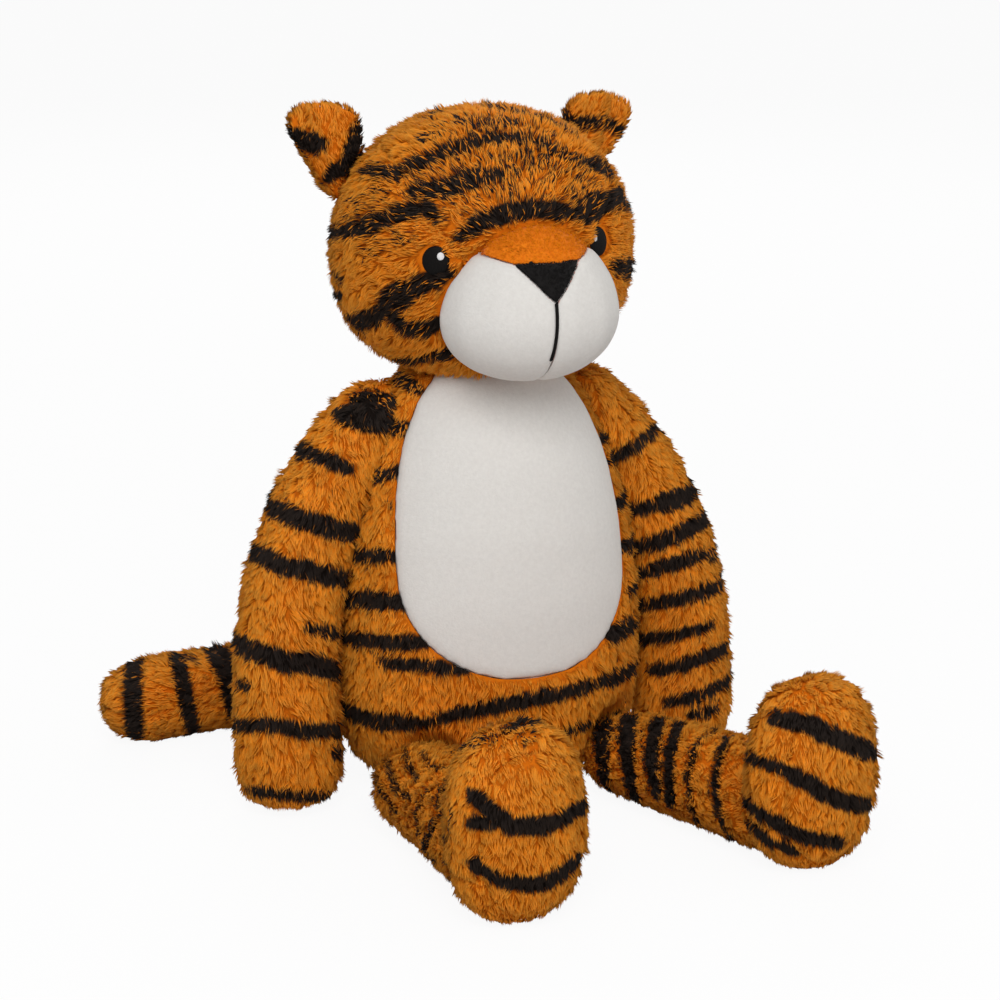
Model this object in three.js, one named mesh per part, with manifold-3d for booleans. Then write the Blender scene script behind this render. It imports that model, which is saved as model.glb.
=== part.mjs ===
// A seated plush tiger: sewn cloth covers over fibre stuffing, with arms, legs, head and tail that move at
// their seams. Millimetres, Z up. The tiger faces -Y, its left side is +X, and its seat rests on z = 0.
import * as THREE from 'three';
import { mergeVertices } from 'three/addons/utils/BufferGeometryUtils.js';
import Module from 'manifold-3d';

const wasm = await Module();
wasm.setup();

// Cloth and clearances
const CLOTH = 3; // cloth with its pressed pile
const SEAM = 0.3; // between sewn neighbours, and between a cover and its stuffing
const FLAT = 0.5; // how deep a soft underside is pressed flat by the floor

// Torso
const BELLY_HEIGHT = 80; // of its widest ring above the floor
const TORSO_TOP = 275;
const TORSO_HALF_WIDTH = 94;
const TORSO_HALF_DEPTH = 80;
const SEAT_BLUNT = 3; // 2 is an ellipse, and more is blunter
const CHEST_BLUNT = 2.2;
const SIDE_SEAM_Y = 12;

// Belly panel, as seen from the front
const PANEL_BOTTOM = 82;
const PANEL_WIDEST = 142;
const PANEL_RISE = 128; // of its oval above the widest line; the neck seam cuts the oval off
const PANEL_HALF_WIDTH = 74;
const PANEL_BLUNT = 2.25;

// Neck: a dome on the torso that the head's hollow rolls on
const NECK_PIVOT_Z = 194;
const NECK_RADIUS = 76;
const NECK_CUT_Z = 233;
const NECK_OPENING_RADIUS = 26; // left unsewn inside the seam, for stuffing

// Head
const HEAD_Z = 325; // its widest ring
const HEAD_RISE = 86;
const HEAD_DROP = 73;
const HEAD_HALF_WIDTH = 91;
const HEAD_HALF_DEPTH = 77;
const HEAD_TURN = -2.5; // degrees; it looks slightly to its right
const HEAD_BLUNT_ABOVE = 2.15;
const HEAD_BLUNT_BELOW = 2.35;

// Forehead gusset, as seen from the front: it widens from the muzzle to the ears and ends at the crown seam
const GUSSET_FOOT_HALF_WIDTH = 37;
const GUSSET_EAR_HALF_WIDTH = 62;
const GUSSET_FOOT_Z = 329;
const GUSSET_EAR_Z = 369;
const CROWN_SEAM_Y = 18;

// Muzzle
const MUZZLE_Y = -66;
const MUZZLE_Z = 300; // its widest ring
const MUZZLE_RISE = 54;
const MUZZLE_DROP = 41;
const MUZZLE_HALF_WIDTH = 58;
const MUZZLE_HALF_DEPTH = 46;
const MUZZLE_BLUNT_ABOVE = 1.75;
const MUZZLE_BLUNT_BELOW = 2.2;
const BRIDGE_EDGE_HALF_WIDTH = 40; // where the bridge meets the head
const BRIDGE_EDGE_Z = 338;
const NOSE_HALF_WIDTH = 21;
const NOSE_TOP_Z = 333;
const NOSE_TIP_Z = 311;

// Embroidery
const THREAD_HEIGHT = 1.4;
const MOUTH_HALF_WIDTH = 1.3;
const MOUTH_BOTTOM_Z = 275;
const EYE_X = 51.5;
const EYE_Z = 332;
const EYE_HALF_WIDTH = 7.5;
const EYE_HALF_HEIGHT = 9.5;
const GLINT_RADIUS = 2.4;
const GLINT_IN = 2.6; // the glint's centre towards the nose from the eye's
const GLINT_UP = 2.6;

// Ears
const EAR_BASE_X = 70;
const EAR_BASE_Z = 356;
const EAR_TIP_X = 96;
const EAR_TIP_Z = 410;
const EAR_Y = 26;
const EAR_HALF_WIDTH = 22;
const EAR_HALF_THICKNESS = 8;
const EAR_BLUNT = 3;

// Arms: the middle line from the shoulder to the hand, and the half width there
const SHOULDER_Z = 245; // of the sewn edge that the arm swings on
const ARM_SEAM_Y = 0;
const ARM_SHOULDER_CAP = 30; // how long the rounding of each end is
const ARM_HAND_CAP = 20;
const ARM_HAND_BLUNT = 2.6;
const ARM_LINE = [
  { x: 46, y: 8, z: 243 },
  { x: 83, y: 6, z: 208 },
  { x: 112, y: 2, z: 160 },
  { x: 128, y: -5, z: 104 },
  { x: 131, y: -12, z: 1 },
];
const ARM_HALF_WIDTHS = [23, 26, 28, 29, 30];

// Legs, which lie on the floor and end in upright feet. Out is how far a foot stands outwards from its hip.
const HIP_X = 68;
const HIP_Y = -74;
const HIP_RADIUS = 32;
const ANKLE_RADIUS = 28;
const LEG_LENGTH = 145; // from the hip to the middle of the foot
const LEG_OUT_LEFT = 28;
const LEG_OUT_RIGHT = 9;
const FOOT_HALF_WIDTH = 38;
const FOOT_HALF_LENGTH = 29; // heel to sole
const FOOT_HEIGHT = 110;
const FOOT_BLUNT = 2.5;
const SOLE_DEPTH = 12; // how far the sole panel's seam lies behind its face
const FOOT_TURN_LEFT = 4; // degrees outwards
const FOOT_TURN_RIGHT = 0;

// Tail, which lies on the floor behind the tiger's right arm: its middle line from the root to the tip
const TAIL_HALF_THICKNESS = 25;
const TAIL_ROOT_Y = 84;
const TAIL_TIP_CAP = 24;
const TAIL_LINE = [
  { x: 0, y: 84 },
  { x: -44, y: 122 },
  { x: -110, y: 142 },
  { x: -200, y: 134 },
];

const LARGE = 800; // longer than the whole toy

const COLOURS = {
  fur: { color: 0xc8701c, roughness: 0.95, metalness: 0 },
  whitePlush: { color: 0xefede8, roughness: 0.95, metalness: 0 },
  bridgePlush: { color: 0xdd6f12, roughness: 0.9, metalness: 0 },
  nosePlush: { color: 0x17120f, roughness: 0.9, metalness: 0 },
  blackThread: { color: 0x14110f, roughness: 0.7, metalness: 0 },
  whiteThread: { color: 0xf2f2f2, roughness: 0.7, metalness: 0 },
  stuffing: { color: 0xf4f4f0, roughness: 1, metalness: 0 },
};

// Rings along a form and points around each
const FINE = { around: 24, along: 14 };
const PLAIN = { around: 14, along: 10 };
const INNER = { around: 12, along: 8 };
const NECK = { around: 48, along: 10 };

const toy = new THREE.Group();

// Solids
function solidFromArrays(positions, triangles) {
  let sixVolumes = 0;
  for (let i = 0; i < triangles.length; i += 3) {
    const [a, b, c] = [0, 1, 2].map((k) => new THREE.Vector3().fromArray(positions, triangles[i + k] * 3));
    sixVolumes += a.dot(b.cross(c));
  }
  if (sixVolumes < 0) triangles.reverse();
  const mesh = new wasm.Mesh({
    numProp: 3,
    vertProperties: Float32Array.from(positions),
    triVerts: Uint32Array.from(triangles),
  });
  return new wasm.Manifold(mesh);
}

function solid(geometry, matrix = new THREE.Matrix4()) {
  const bare = geometry.clone().applyMatrix4(matrix);
  bare.deleteAttribute('normal');
  bare.deleteAttribute('uv');
  const merged = mergeVertices(bare, 1e-4);
  return solidFromArrays(Array.from(merged.attributes.position.array), Array.from(merged.index.array));
}

function boxBetween(low, high) {
  const size = new THREE.Vector3().subVectors(high, low);
  const middle = new THREE.Vector3().addVectors(low, high).multiplyScalar(0.5);
  const matrix = new THREE.Matrix4().setPosition(middle);
  return solid(new THREE.BoxGeometry(size.x, size.y, size.z), matrix);
}

// Everything on one side of the plane where the named axis has the given value.
function halfSpace(axis, value, above) {
  const low = new THREE.Vector3(-LARGE, -LARGE, -LARGE);
  const high = new THREE.Vector3(LARGE, LARGE, LARGE);
  if (above) low[axis] = value;
  else high[axis] = value;
  return boxBetween(low, high);
}

// A ball whose flat faces lie at the radius or outside it, to cut a hollow that a round root turns in.
function hollowBall(centre, radius, detail) {
  const flatness = Math.cos(Math.PI / detail.around) * Math.cos(Math.PI / (2 * detail.along));
  const matrix = new THREE.Matrix4().setPosition(centre);
  return solid(new THREE.SphereGeometry(radius / flatness, detail.around, detail.along), matrix);
}

// A prism along Y from an outline of [x, z] points, running forward from backY.
function prismAlongY(outline, backY) {
  const shape = new THREE.Shape(outline.map(([x, z]) => new THREE.Vector2(x, z)));
  const geometry = new THREE.ExtrudeGeometry(shape, { depth: LARGE, bevelEnabled: false });
  const matrix = new THREE.Matrix4().makeRotationX(Math.PI / 2).setPosition(0, backY, 0);
  return solid(geometry, matrix);
}

// How wide a ring is at s, from -1 to 1 along the middle line, as a share of the form's full width. An egg
// narrows all the way from its middle, and a limb only in the rounding at each end.
const rounding = (share, blunt) => (1 - Math.min(1, Math.max(0, share)) ** blunt) ** (1 / blunt);
const eggShare = (below, above) => (s) => rounding(Math.abs(s), s < 0 ? below : above);
const limbShare = (length, caps, blunts) => (s) => {
  const fromStart = ((s + 1) / 2) * length;
  const start = rounding(1 - fromStart / caps[0], blunts[0]);
  return start * rounding(1 - (length - fromStart) / caps[1], blunts[1]);
};

// A stuffed form: rings round a middle line, shrinking to a point at both ends. line(s) is the middle line
// for s from -1 to 1, halfSizes(s) the full half width and depth, and share(s) how much of them a ring has.
function stuffedForm({ line, halfSizes, share, widthAxis }, offset = 0, detail = FINE) {
  const direction = (s) => {
    const low = line(Math.max(-1, s - 0.01));
    const high = line(Math.min(1, s + 0.01));
    return high.sub(low).normalize();
  };
  const point = (angle, s) => {
    const along = direction(s);
    const wide = widthAxis.clone().addScaledVector(along, -widthAxis.dot(along)).normalize();
    const deep = along.clone().cross(wide);
    const [halfWidth, halfDepth] = halfSizes(s);
    return line(s)
      .addScaledVector(wide, halfWidth * share(s) * Math.cos(angle))
      .addScaledVector(deep, halfDepth * share(s) * Math.sin(angle));
  };
  const station = (i) => -Math.cos((Math.PI * i) / detail.along);
  const step = 0.004;
  const positions = [];
  const addPoint = (p, normal) => positions.push(...p.addScaledVector(normal, offset).toArray());
  addPoint(line(-1), direction(-1).negate());
  for (let i = 1; i < detail.along; i += 1) {
    for (let j = 0; j < detail.around; j += 1) {
      const angle = (2 * Math.PI * j) / detail.around;
      const s = station(i);
      const round = point(angle + step, s).sub(point(angle - step, s));
      const along = point(angle, Math.min(0.9999, s + step)).sub(point(angle, Math.max(-0.9999, s - step)));
      addPoint(point(angle, s), round.cross(along).normalize());
    }
  }
  addPoint(line(1), direction(1));
  const last = positions.length / 3 - 1;
  const index = (i, j) => 1 + (i - 1) * detail.around + (j % detail.around);
  const triangles = [];
  for (let j = 0; j < detail.around; j += 1) {
    triangles.push(0, index(1, j + 1), index(1, j));
    triangles.push(last, index(detail.along - 1, j), index(detail.along - 1, j + 1));
    for (let i = 1; i < detail.along - 1; i += 1) {
      triangles.push(index(i, j), index(i, j + 1), index(i + 1, j));
      triangles.push(index(i, j + 1), index(i + 1, j + 1), index(i + 1, j));
    }
  }
  return solidFromArrays(positions, triangles);
}

function addMesh(name, manifold, look) {
  const { vertProperties, triVerts, numProp } = manifold.getMesh();
  const positions = new Float32Array((vertProperties.length / numProp) * 3);
  for (let i = 0; i < positions.length / 3; i += 1) {
    for (let k = 0; k < 3; k += 1) positions[i * 3 + k] = vertProperties[i * numProp + k];
  }
  const geometry = new THREE.BufferGeometry();
  geometry.setAttribute('position', new THREE.BufferAttribute(positions, 3));
  geometry.setIndex(Array.from(triVerts));
  geometry.computeVertexNormals();
  const mesh = new THREE.Mesh(geometry, new THREE.MeshStandardMaterial(COLOURS[look]));
  mesh.name = name;
  toy.add(mesh);
}

const addHeadMesh = (name, manifold, look) => addMesh(name, manifold.rotate([0, 0, HEAD_TURN]), look);

// The two pieces of a shell on either side of a plane, with a seam's gap between them.
function splitAt(shell, axis, value) {
  const below = shell.intersect(halfSpace(axis, value - SEAM / 2, false));
  const above = shell.intersect(halfSpace(axis, value + SEAM / 2, true));
  return [below, above];
}

const aboveFloor = halfSpace('z', 0, true);

// Forms of the larger pieces, each as a function of its offset from the cover's face
const upright = (y, middleZ, rise, drop) => (s) =>
  new THREE.Vector3(0, y, middleZ + s * (s < 0 ? drop : rise));

function torsoForm(offset, detail) {
  const form = {
    line: upright(0, BELLY_HEIGHT, TORSO_TOP - BELLY_HEIGHT, BELLY_HEIGHT + FLAT),
    halfSizes: () => [TORSO_HALF_WIDTH, TORSO_HALF_DEPTH],
    share: eggShare(SEAT_BLUNT, CHEST_BLUNT),
    widthAxis: new THREE.Vector3(1, 0, 0),
  };
  return stuffedForm(form, offset, detail);
}

function headForm(offset, detail) {
  const form = {
    line: upright(0, HEAD_Z, HEAD_RISE, HEAD_DROP),
    halfSizes: () => [HEAD_HALF_WIDTH, HEAD_HALF_DEPTH],
    share: eggShare(HEAD_BLUNT_BELOW, HEAD_BLUNT_ABOVE),
    widthAxis: new THREE.Vector3(1, 0, 0),
  };
  return stuffedForm(form, offset, detail);
}

function muzzleForm(offset, detail = INNER) {
  const form = {
    line: upright(MUZZLE_Y, MUZZLE_Z, MUZZLE_RISE, MUZZLE_DROP),
    halfSizes: () => [MUZZLE_HALF_WIDTH, MUZZLE_HALF_DEPTH],
    share: eggShare(MUZZLE_BLUNT_BELOW, MUZZLE_BLUNT_ABOVE),
    widthAxis: new THREE.Vector3(1, 0, 0),
  };
  return stuffedForm(form, offset, detail);
}

// A ball made of rings round the nodding axis, so that the dome and the head's hollow keep their clearance
// at every angle. Its poles lie on the X axis, turned by the given degrees.
function neckBall(radius, turn) {
  const matrix = new THREE.Matrix4()
    .makeRotationZ(THREE.MathUtils.degToRad(90 + turn))
    .setPosition(0, 0, NECK_PIVOT_Z);
  return solid(new THREE.SphereGeometry(radius, NECK.around, NECK.along), matrix);
}

const hipCentre = (side) => new THREE.Vector3(side * HIP_X, HIP_Y, HIP_RADIUS - FLAT);
const tailRoot = new THREE.Vector3(0, TAIL_ROOT_Y, TAIL_HALF_THICKNESS - FLAT);

// The torso with its neck dome, and with hollows for the round roots of the legs and tail.
function torsoBody(offset, detail) {
  const dome = neckBall(NECK_RADIUS + offset, HEAD_TURN);
  let body = torsoForm(offset, detail).subtract(halfSpace('z', NECK_CUT_Z, true).subtract(dome));
  body = body.subtract(hollowBall(tailRoot, TAIL_HALF_THICKNESS + SEAM - offset, INNER));
  for (const side of [-1, 1]) {
    body = body.subtract(hollowBall(hipCentre(side), HIP_RADIUS + SEAM - offset, INNER));
  }
  return body.intersect(halfSpace('z', -offset, true));
}

const neckOpening = solid(
  new THREE.CylinderGeometry(NECK_OPENING_RADIUS, NECK_OPENING_RADIUS, HEAD_Z - NECK_CUT_Z, 16),
  new THREE.Matrix4().makeRotationX(Math.PI / 2).setPosition(0, 0, (HEAD_Z + NECK_CUT_Z) / 2),
);

// Torso: front and back covers, the white belly panel set into the front, and the stuffing
const torsoShell = torsoBody(0, FINE).subtract(torsoBody(-CLOTH, INNER)).subtract(neckOpening);
const [torsoFront, torsoBack] = splitAt(torsoShell, 'y', SIDE_SEAM_Y);

function bellyOutline(grow) {
  const points = [];
  const count = 36;
  for (let i = 0; i < count; i += 1) {
    const turn = (2 * Math.PI * i) / count;
    const across = Math.cos(turn);
    const up = Math.sin(turn);
    const power = 2 / PANEL_BLUNT;
    const reach = up < 0 ? PANEL_WIDEST - PANEL_BOTTOM : PANEL_RISE;
    points.push([
      Math.sign(across) * Math.abs(across) ** power * (PANEL_HALF_WIDTH + grow),
      PANEL_WIDEST + Math.sign(up) * Math.abs(up) ** power * (reach + grow),
    ]);
  }
  return points;
}

addMesh('torso_front_cover', torsoFront.subtract(prismAlongY(bellyOutline(SEAM), 0)), 'fur');
addMesh('torso_back_cover', torsoBack, 'fur');
addMesh('belly_panel', torsoFront.intersect(prismAlongY(bellyOutline(0), 0)), 'whitePlush');
addMesh('torso_stuffing', torsoBody(-CLOTH - SEAM, INNER), 'stuffing');

// Head: a forehead gusset and two side panels, open under the muzzle and at the neck
function headBody(offset, detail) {
  const hollow = neckBall((NECK_RADIUS + SEAM - offset) / Math.cos(Math.PI / NECK.around), 0);
  return headForm(offset, detail).subtract(hollow);
}

const headShell = headBody(0, FINE)
  .subtract(headBody(-CLOTH, INNER))
  .subtract(neckOpening)
  .subtract(muzzleForm(-CLOTH));

function gussetOutline(grow) {
  const foot = GUSSET_FOOT_HALF_WIDTH + grow;
  const ear = GUSSET_EAR_HALF_WIDTH + grow;
  return [
    [-foot, GUSSET_FOOT_Z - HEAD_DROP],
    [foot, GUSSET_FOOT_Z - HEAD_DROP],
    [foot, GUSSET_FOOT_Z],
    [ear, GUSSET_EAR_Z],
    [ear, LARGE],
    [-ear, LARGE],
    [-ear, GUSSET_EAR_Z],
    [-foot, GUSSET_FOOT_Z],
  ];
}

const aboveMuzzle = (grow) => halfSpace('z', MUZZLE_Z - grow, true);
const gussetCutter = (grow) =>
  prismAlongY(gussetOutline(grow), CROWN_SEAM_Y + grow).intersect(aboveMuzzle(grow));
addHeadMesh('forehead_gusset', headShell.intersect(gussetCutter(0)), 'fur');
const [headRight, headLeft] = splitAt(headShell.subtract(gussetCutter(SEAM)), 'x', 0);
addHeadMesh('head_right_panel', headRight, 'fur');
addHeadMesh('head_left_panel', headLeft, 'fur');
addHeadMesh('head_stuffing', headBody(-CLOTH - SEAM, INNER), 'stuffing');

// Muzzle: white cheeks, the orange bridge above them and the dark nose between
const muzzleShell = muzzleForm(0, PLAIN).subtract(muzzleForm(-CLOTH)).subtract(headForm(SEAM, FINE));

function bridgeOutline(shrink) {
  const edge = BRIDGE_EDGE_HALF_WIDTH;
  return [
    [-edge, BRIDGE_EDGE_Z + shrink],
    [-NOSE_HALF_WIDTH - shrink, NOSE_TOP_Z + shrink],
    [NOSE_HALF_WIDTH + shrink, NOSE_TOP_Z + shrink],
    [edge, BRIDGE_EDGE_Z + shrink],
    [edge * 2, BRIDGE_EDGE_Z + shrink],
    [edge * 2, MUZZLE_Z + 2 * MUZZLE_RISE],
    [-edge * 2, MUZZLE_Z + 2 * MUZZLE_RISE],
    [-edge * 2, BRIDGE_EDGE_Z + shrink],
  ];
}

const noseOutline = (grow) => [
  [-NOSE_HALF_WIDTH - grow, NOSE_TOP_Z],
  [0, NOSE_TIP_Z - grow],
  [NOSE_HALF_WIDTH + grow, NOSE_TOP_Z],
];

const bridgeCutter = prismAlongY(bridgeOutline(0), 0);
const noseCutter = prismAlongY(noseOutline(SEAM), 0);
addHeadMesh('nose_bridge', muzzleShell.intersect(prismAlongY(bridgeOutline(SEAM), 0)), 'bridgePlush');
addHeadMesh('nose_panel', muzzleShell.intersect(prismAlongY(noseOutline(0), 0)), 'nosePlush');
const [muzzleRight, muzzleLeft] = splitAt(muzzleShell.subtract(bridgeCutter).subtract(noseCutter), 'x', 0);
addHeadMesh('muzzle_right_panel', muzzleRight, 'whitePlush');
addHeadMesh('muzzle_left_panel', muzzleLeft, 'whitePlush');
addHeadMesh('muzzle_stuffing', muzzleForm(-CLOTH - SEAM).subtract(headForm(-CLOTH, INNER)), 'stuffing');

// Embroidery stands on the cloth by the thread's height
function threadLayer(form, detail, level) {
  const bottom = level * (THREAD_HEIGHT + SEAM) + SEAM;
  return form(bottom + THREAD_HEIGHT, detail).subtract(form(bottom, detail));
}

const mouthLine = prismAlongY(
  [
    [-MOUTH_HALF_WIDTH, MOUTH_BOTTOM_Z],
    [MOUTH_HALF_WIDTH, MOUTH_BOTTOM_Z],
    [MOUTH_HALF_WIDTH, NOSE_TIP_Z],
    [-MOUTH_HALF_WIDTH, NOSE_TIP_Z],
  ],
  MUZZLE_Y,
);
addHeadMesh('mouth_stitch', threadLayer(muzzleForm, PLAIN, 0).intersect(mouthLine), 'blackThread');

// An oval column along Y in front of the head, to cut a patch of thread with.
function ovalColumn(x, z, halfWidth, halfHeight) {
  const matrix = new THREE.Matrix4()
    .makeTranslation(x, -HEAD_HALF_DEPTH, z)
    .scale(new THREE.Vector3(halfWidth, 1, halfHeight));
  return solid(new THREE.CylinderGeometry(1, 1, HEAD_HALF_DEPTH * 2, 20), matrix);
}

for (const side of [-1, 1]) {
  const sideName = side < 0 ? 'right' : 'left';
  const eyeColumn = ovalColumn(side * EYE_X, EYE_Z, EYE_HALF_WIDTH, EYE_HALF_HEIGHT);
  const eye = threadLayer(headForm, FINE, 0).intersect(eyeColumn).subtract(muzzleForm(SEAM, PLAIN));
  addHeadMesh(`${sideName}_eye`, eye, 'blackThread');
  const glintX = side * (EYE_X - GLINT_IN);
  const glintColumn = ovalColumn(glintX, EYE_Z + GLINT_UP, GLINT_RADIUS, GLINT_RADIUS);
  addHeadMesh(`${sideName}_eye_glint`, threadLayer(headForm, FINE, 1).intersect(glintColumn), 'whiteThread');
}

// Ears: a front and a back layer each, sewn to the head
for (const side of [-1, 1]) {
  const sideName = side < 0 ? 'right' : 'left';
  const base = new THREE.Vector3(side * EAR_BASE_X, EAR_Y, EAR_BASE_Z);
  const tip = new THREE.Vector3(side * EAR_TIP_X, EAR_Y, EAR_TIP_Z);
  const form = {
    line: (s) => base.clone().lerp(tip, (s + 1) / 2),
    halfSizes: () => [EAR_HALF_WIDTH, EAR_HALF_THICKNESS],
    share: eggShare(EAR_BLUNT, EAR_BLUNT),
    widthAxis: new THREE.Vector3(1, 0, 0),
  };
  const ear = stuffedForm(form, 0, INNER).subtract(headForm(SEAM, FINE));
  const [front, back] = splitAt(ear, 'y', EAR_Y);
  addHeadMesh(`${sideName}_ear_front`, front, 'fur');
  addHeadMesh(`${sideName}_ear_back`, back, 'fur');
}

// Arms: they hang from the shoulder edge against the torso
const shoulderShare = rounding((SHOULDER_Z - BELLY_HEIGHT) / (TORSO_TOP - BELLY_HEIGHT), CHEST_BLUNT);
const SHOULDER_X = TORSO_HALF_WIDTH * shoulderShare + SEAM;

function valueAlong(values, s) {
  const place = ((s + 1) / 2) * (values.length - 1);
  const first = Math.min(values.length - 2, Math.floor(place));
  return THREE.MathUtils.lerp(values[first], values[first + 1], place - first);
}

function armBody(side, offset, detail) {
  const curve = new THREE.CatmullRomCurve3(ARM_LINE.map(({ x, y, z }) => new THREE.Vector3(side * x, y, z)));
  const form = {
    line: (s) => curve.getPointAt((s + 1) / 2),
    halfSizes: (s) => [valueAlong(ARM_HALF_WIDTHS, s), valueAlong(ARM_HALF_WIDTHS, s)],
    share: limbShare(curve.getLength(), [ARM_SHOULDER_CAP, ARM_HAND_CAP], [2, ARM_HAND_BLUNT]),
    widthAxis: new THREE.Vector3(1, 0, 0),
  };
  return stuffedForm(form, offset, detail)
    .subtract(torsoForm(SEAM - offset, FINE))
    .intersect(halfSpace('x', side * (SHOULDER_X - offset), side > 0));
}

for (const side of [-1, 1]) {
  const sideName = side < 0 ? 'right' : 'left';
  const shell = armBody(side, 0, PLAIN).subtract(armBody(side, -CLOTH, INNER));
  const [front, back] = splitAt(shell, 'y', ARM_SEAM_Y);
  addMesh(`${sideName}_arm_front_panel`, front, 'fur');
  addMesh(`${sideName}_arm_back_panel`, back, 'fur');
  addMesh(`${sideName}_arm_stuffing`, armBody(side, -CLOTH - SEAM, INNER), 'stuffing');
}

// Legs: each has a round root in the torso's hollow, a straight leg and an upright foot with its own sole.
// A leg is made with its hip at the origin and its sole facing -Y.
const floorUnderHip = FLAT - HIP_RADIUS;

function legBody(side, offset, detail) {
  const out = side * (side < 0 ? LEG_OUT_RIGHT : LEG_OUT_LEFT);
  const ankle = new THREE.Vector3(out, -LEG_LENGTH, ANKLE_RADIUS - HIP_RADIUS);
  const start = ankle.clone().normalize().multiplyScalar(-HIP_RADIUS);
  const length = start.distanceTo(ankle);
  const thickness = (s) => {
    const pastHip = ((s + 1) / 2 - HIP_RADIUS / length) / (1 - HIP_RADIUS / length);
    return THREE.MathUtils.lerp(HIP_RADIUS, ANKLE_RADIUS, Math.max(0, pastHip));
  };
  const straight = {
    line: (s) => start.clone().lerp(ankle, (s + 1) / 2),
    halfSizes: (s) => [thickness(s), thickness(s)],
    share: limbShare(length, [HIP_RADIUS, ANKLE_RADIUS], [2, 2]),
    widthAxis: new THREE.Vector3(1, 0, 0),
  };
  const footMiddle = floorUnderHip - FLAT + FOOT_HEIGHT / 2;
  const foot = {
    line: (s) => new THREE.Vector3(out, -LEG_LENGTH, footMiddle + (s * FOOT_HEIGHT) / 2),
    halfSizes: () => [FOOT_HALF_WIDTH, FOOT_HALF_LENGTH],
    share: eggShare(FOOT_BLUNT, FOOT_BLUNT),
    widthAxis: new THREE.Vector3(1, 0, 0),
  };
  return stuffedForm(straight, offset, detail)
    .add(stuffedForm(foot, offset, detail))
    .intersect(halfSpace('z', floorUnderHip - offset, true));
}

function placeLeg(manifold, side) {
  const turn = side < 0 ? -FOOT_TURN_RIGHT : FOOT_TURN_LEFT;
  return manifold.rotate([0, 0, turn]).translate(hipCentre(side).toArray());
}

const soleY = -LEG_LENGTH - FOOT_HALF_LENGTH + SOLE_DEPTH;
for (const side of [-1, 1]) {
  const sideName = side < 0 ? 'right' : 'left';
  const shell = legBody(side, 0, PLAIN).subtract(legBody(side, -CLOTH, INNER));
  const [sole, leg] = splitAt(shell, 'y', soleY);
  const [lower, upper] = splitAt(leg, 'z', 0);
  addMesh(`${sideName}_leg_upper_panel`, placeLeg(upper, side), 'fur');
  addMesh(`${sideName}_leg_lower_panel`, placeLeg(lower, side), 'fur');
  addMesh(`${sideName}_sole`, placeLeg(sole, side), 'fur');
  addMesh(`${sideName}_leg_stuffing`, placeLeg(legBody(side, -CLOTH - SEAM, INNER), side), 'stuffing');
}

// Tail: upper and lower panels round its stuffing, with a round root in the torso's hollow
function tailBody(offset, detail) {
  const points = TAIL_LINE.map(({ x, y }) => new THREE.Vector3(x, y, tailRoot.z));
  const outward = points[1].clone().sub(points[0]).normalize();
  points.unshift(tailRoot.clone().addScaledVector(outward, -TAIL_HALF_THICKNESS));
  const curve = new THREE.CatmullRomCurve3(points);
  const form = {
    line: (s) => curve.getPointAt((s + 1) / 2),
    halfSizes: () => [TAIL_HALF_THICKNESS, TAIL_HALF_THICKNESS],
    share: limbShare(curve.getLength(), [TAIL_HALF_THICKNESS, TAIL_TIP_CAP], [2, 2]),
    widthAxis: new THREE.Vector3(0, 0, 1),
  };
  return stuffedForm(form, offset, detail).intersect(halfSpace('z', -offset, true));
}

const tailShell = tailBody(0, PLAIN).subtract(tailBody(-CLOTH, INNER));
const [tailLower, tailUpper] = splitAt(tailShell, 'z', tailRoot.z);
addMesh('tail_lower_panel', tailLower, 'fur');
addMesh('tail_upper_panel', tailUpper, 'fur');
addMesh('tail_stuffing', tailBody(-CLOTH - SEAM, INNER), 'stuffing');

export default toy;
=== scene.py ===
# Seated plush tiger: sewn fur covers, white plush belly and muzzle, stitched eyes and mouth, stuffing.
import bpy, bmesh, math
import numpy as np
from mathutils import Matrix, Vector
from mathutils.bvhtree import BVHTree
from mathutils.kdtree import KDTree


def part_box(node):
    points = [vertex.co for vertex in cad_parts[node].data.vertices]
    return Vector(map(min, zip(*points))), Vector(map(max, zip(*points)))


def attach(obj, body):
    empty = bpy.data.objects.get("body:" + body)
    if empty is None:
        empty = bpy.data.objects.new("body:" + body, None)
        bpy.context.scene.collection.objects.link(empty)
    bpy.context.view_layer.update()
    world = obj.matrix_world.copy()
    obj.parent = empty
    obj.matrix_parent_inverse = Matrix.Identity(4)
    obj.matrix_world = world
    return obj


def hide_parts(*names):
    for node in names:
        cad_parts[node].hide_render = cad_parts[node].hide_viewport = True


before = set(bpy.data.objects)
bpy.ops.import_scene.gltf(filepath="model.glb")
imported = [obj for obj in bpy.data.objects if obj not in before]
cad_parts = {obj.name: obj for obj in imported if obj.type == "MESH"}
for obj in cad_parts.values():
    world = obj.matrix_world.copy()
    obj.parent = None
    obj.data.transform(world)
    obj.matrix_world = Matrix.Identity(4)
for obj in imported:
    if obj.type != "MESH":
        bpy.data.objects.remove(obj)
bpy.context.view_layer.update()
scene = bpy.context.scene
mm = 0.001
randomSeed = 7


# Camera, at the photograph's viewing angle

cameraView = {
    "azimuth": -24.0,
    "elevation": 15.0,
    "lens": 105.0,
    "sensor": 36.0,
    "distance": 1.75,
    "target": Vector((0.007, -0.010, 0.173)),
    "pictureSize": 1000,
    "clip": (0.05, 50),
}


def cameraAxes():
    azimuth, elevation = math.radians(cameraView["azimuth"]), math.radians(cameraView["elevation"])
    level = math.cos(elevation)
    back = Vector((math.sin(azimuth) * level, -math.cos(azimuth) * level, math.sin(elevation)))
    right = Vector((math.cos(azimuth), math.sin(azimuth), 0))
    return back, right, back.cross(right)


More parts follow.
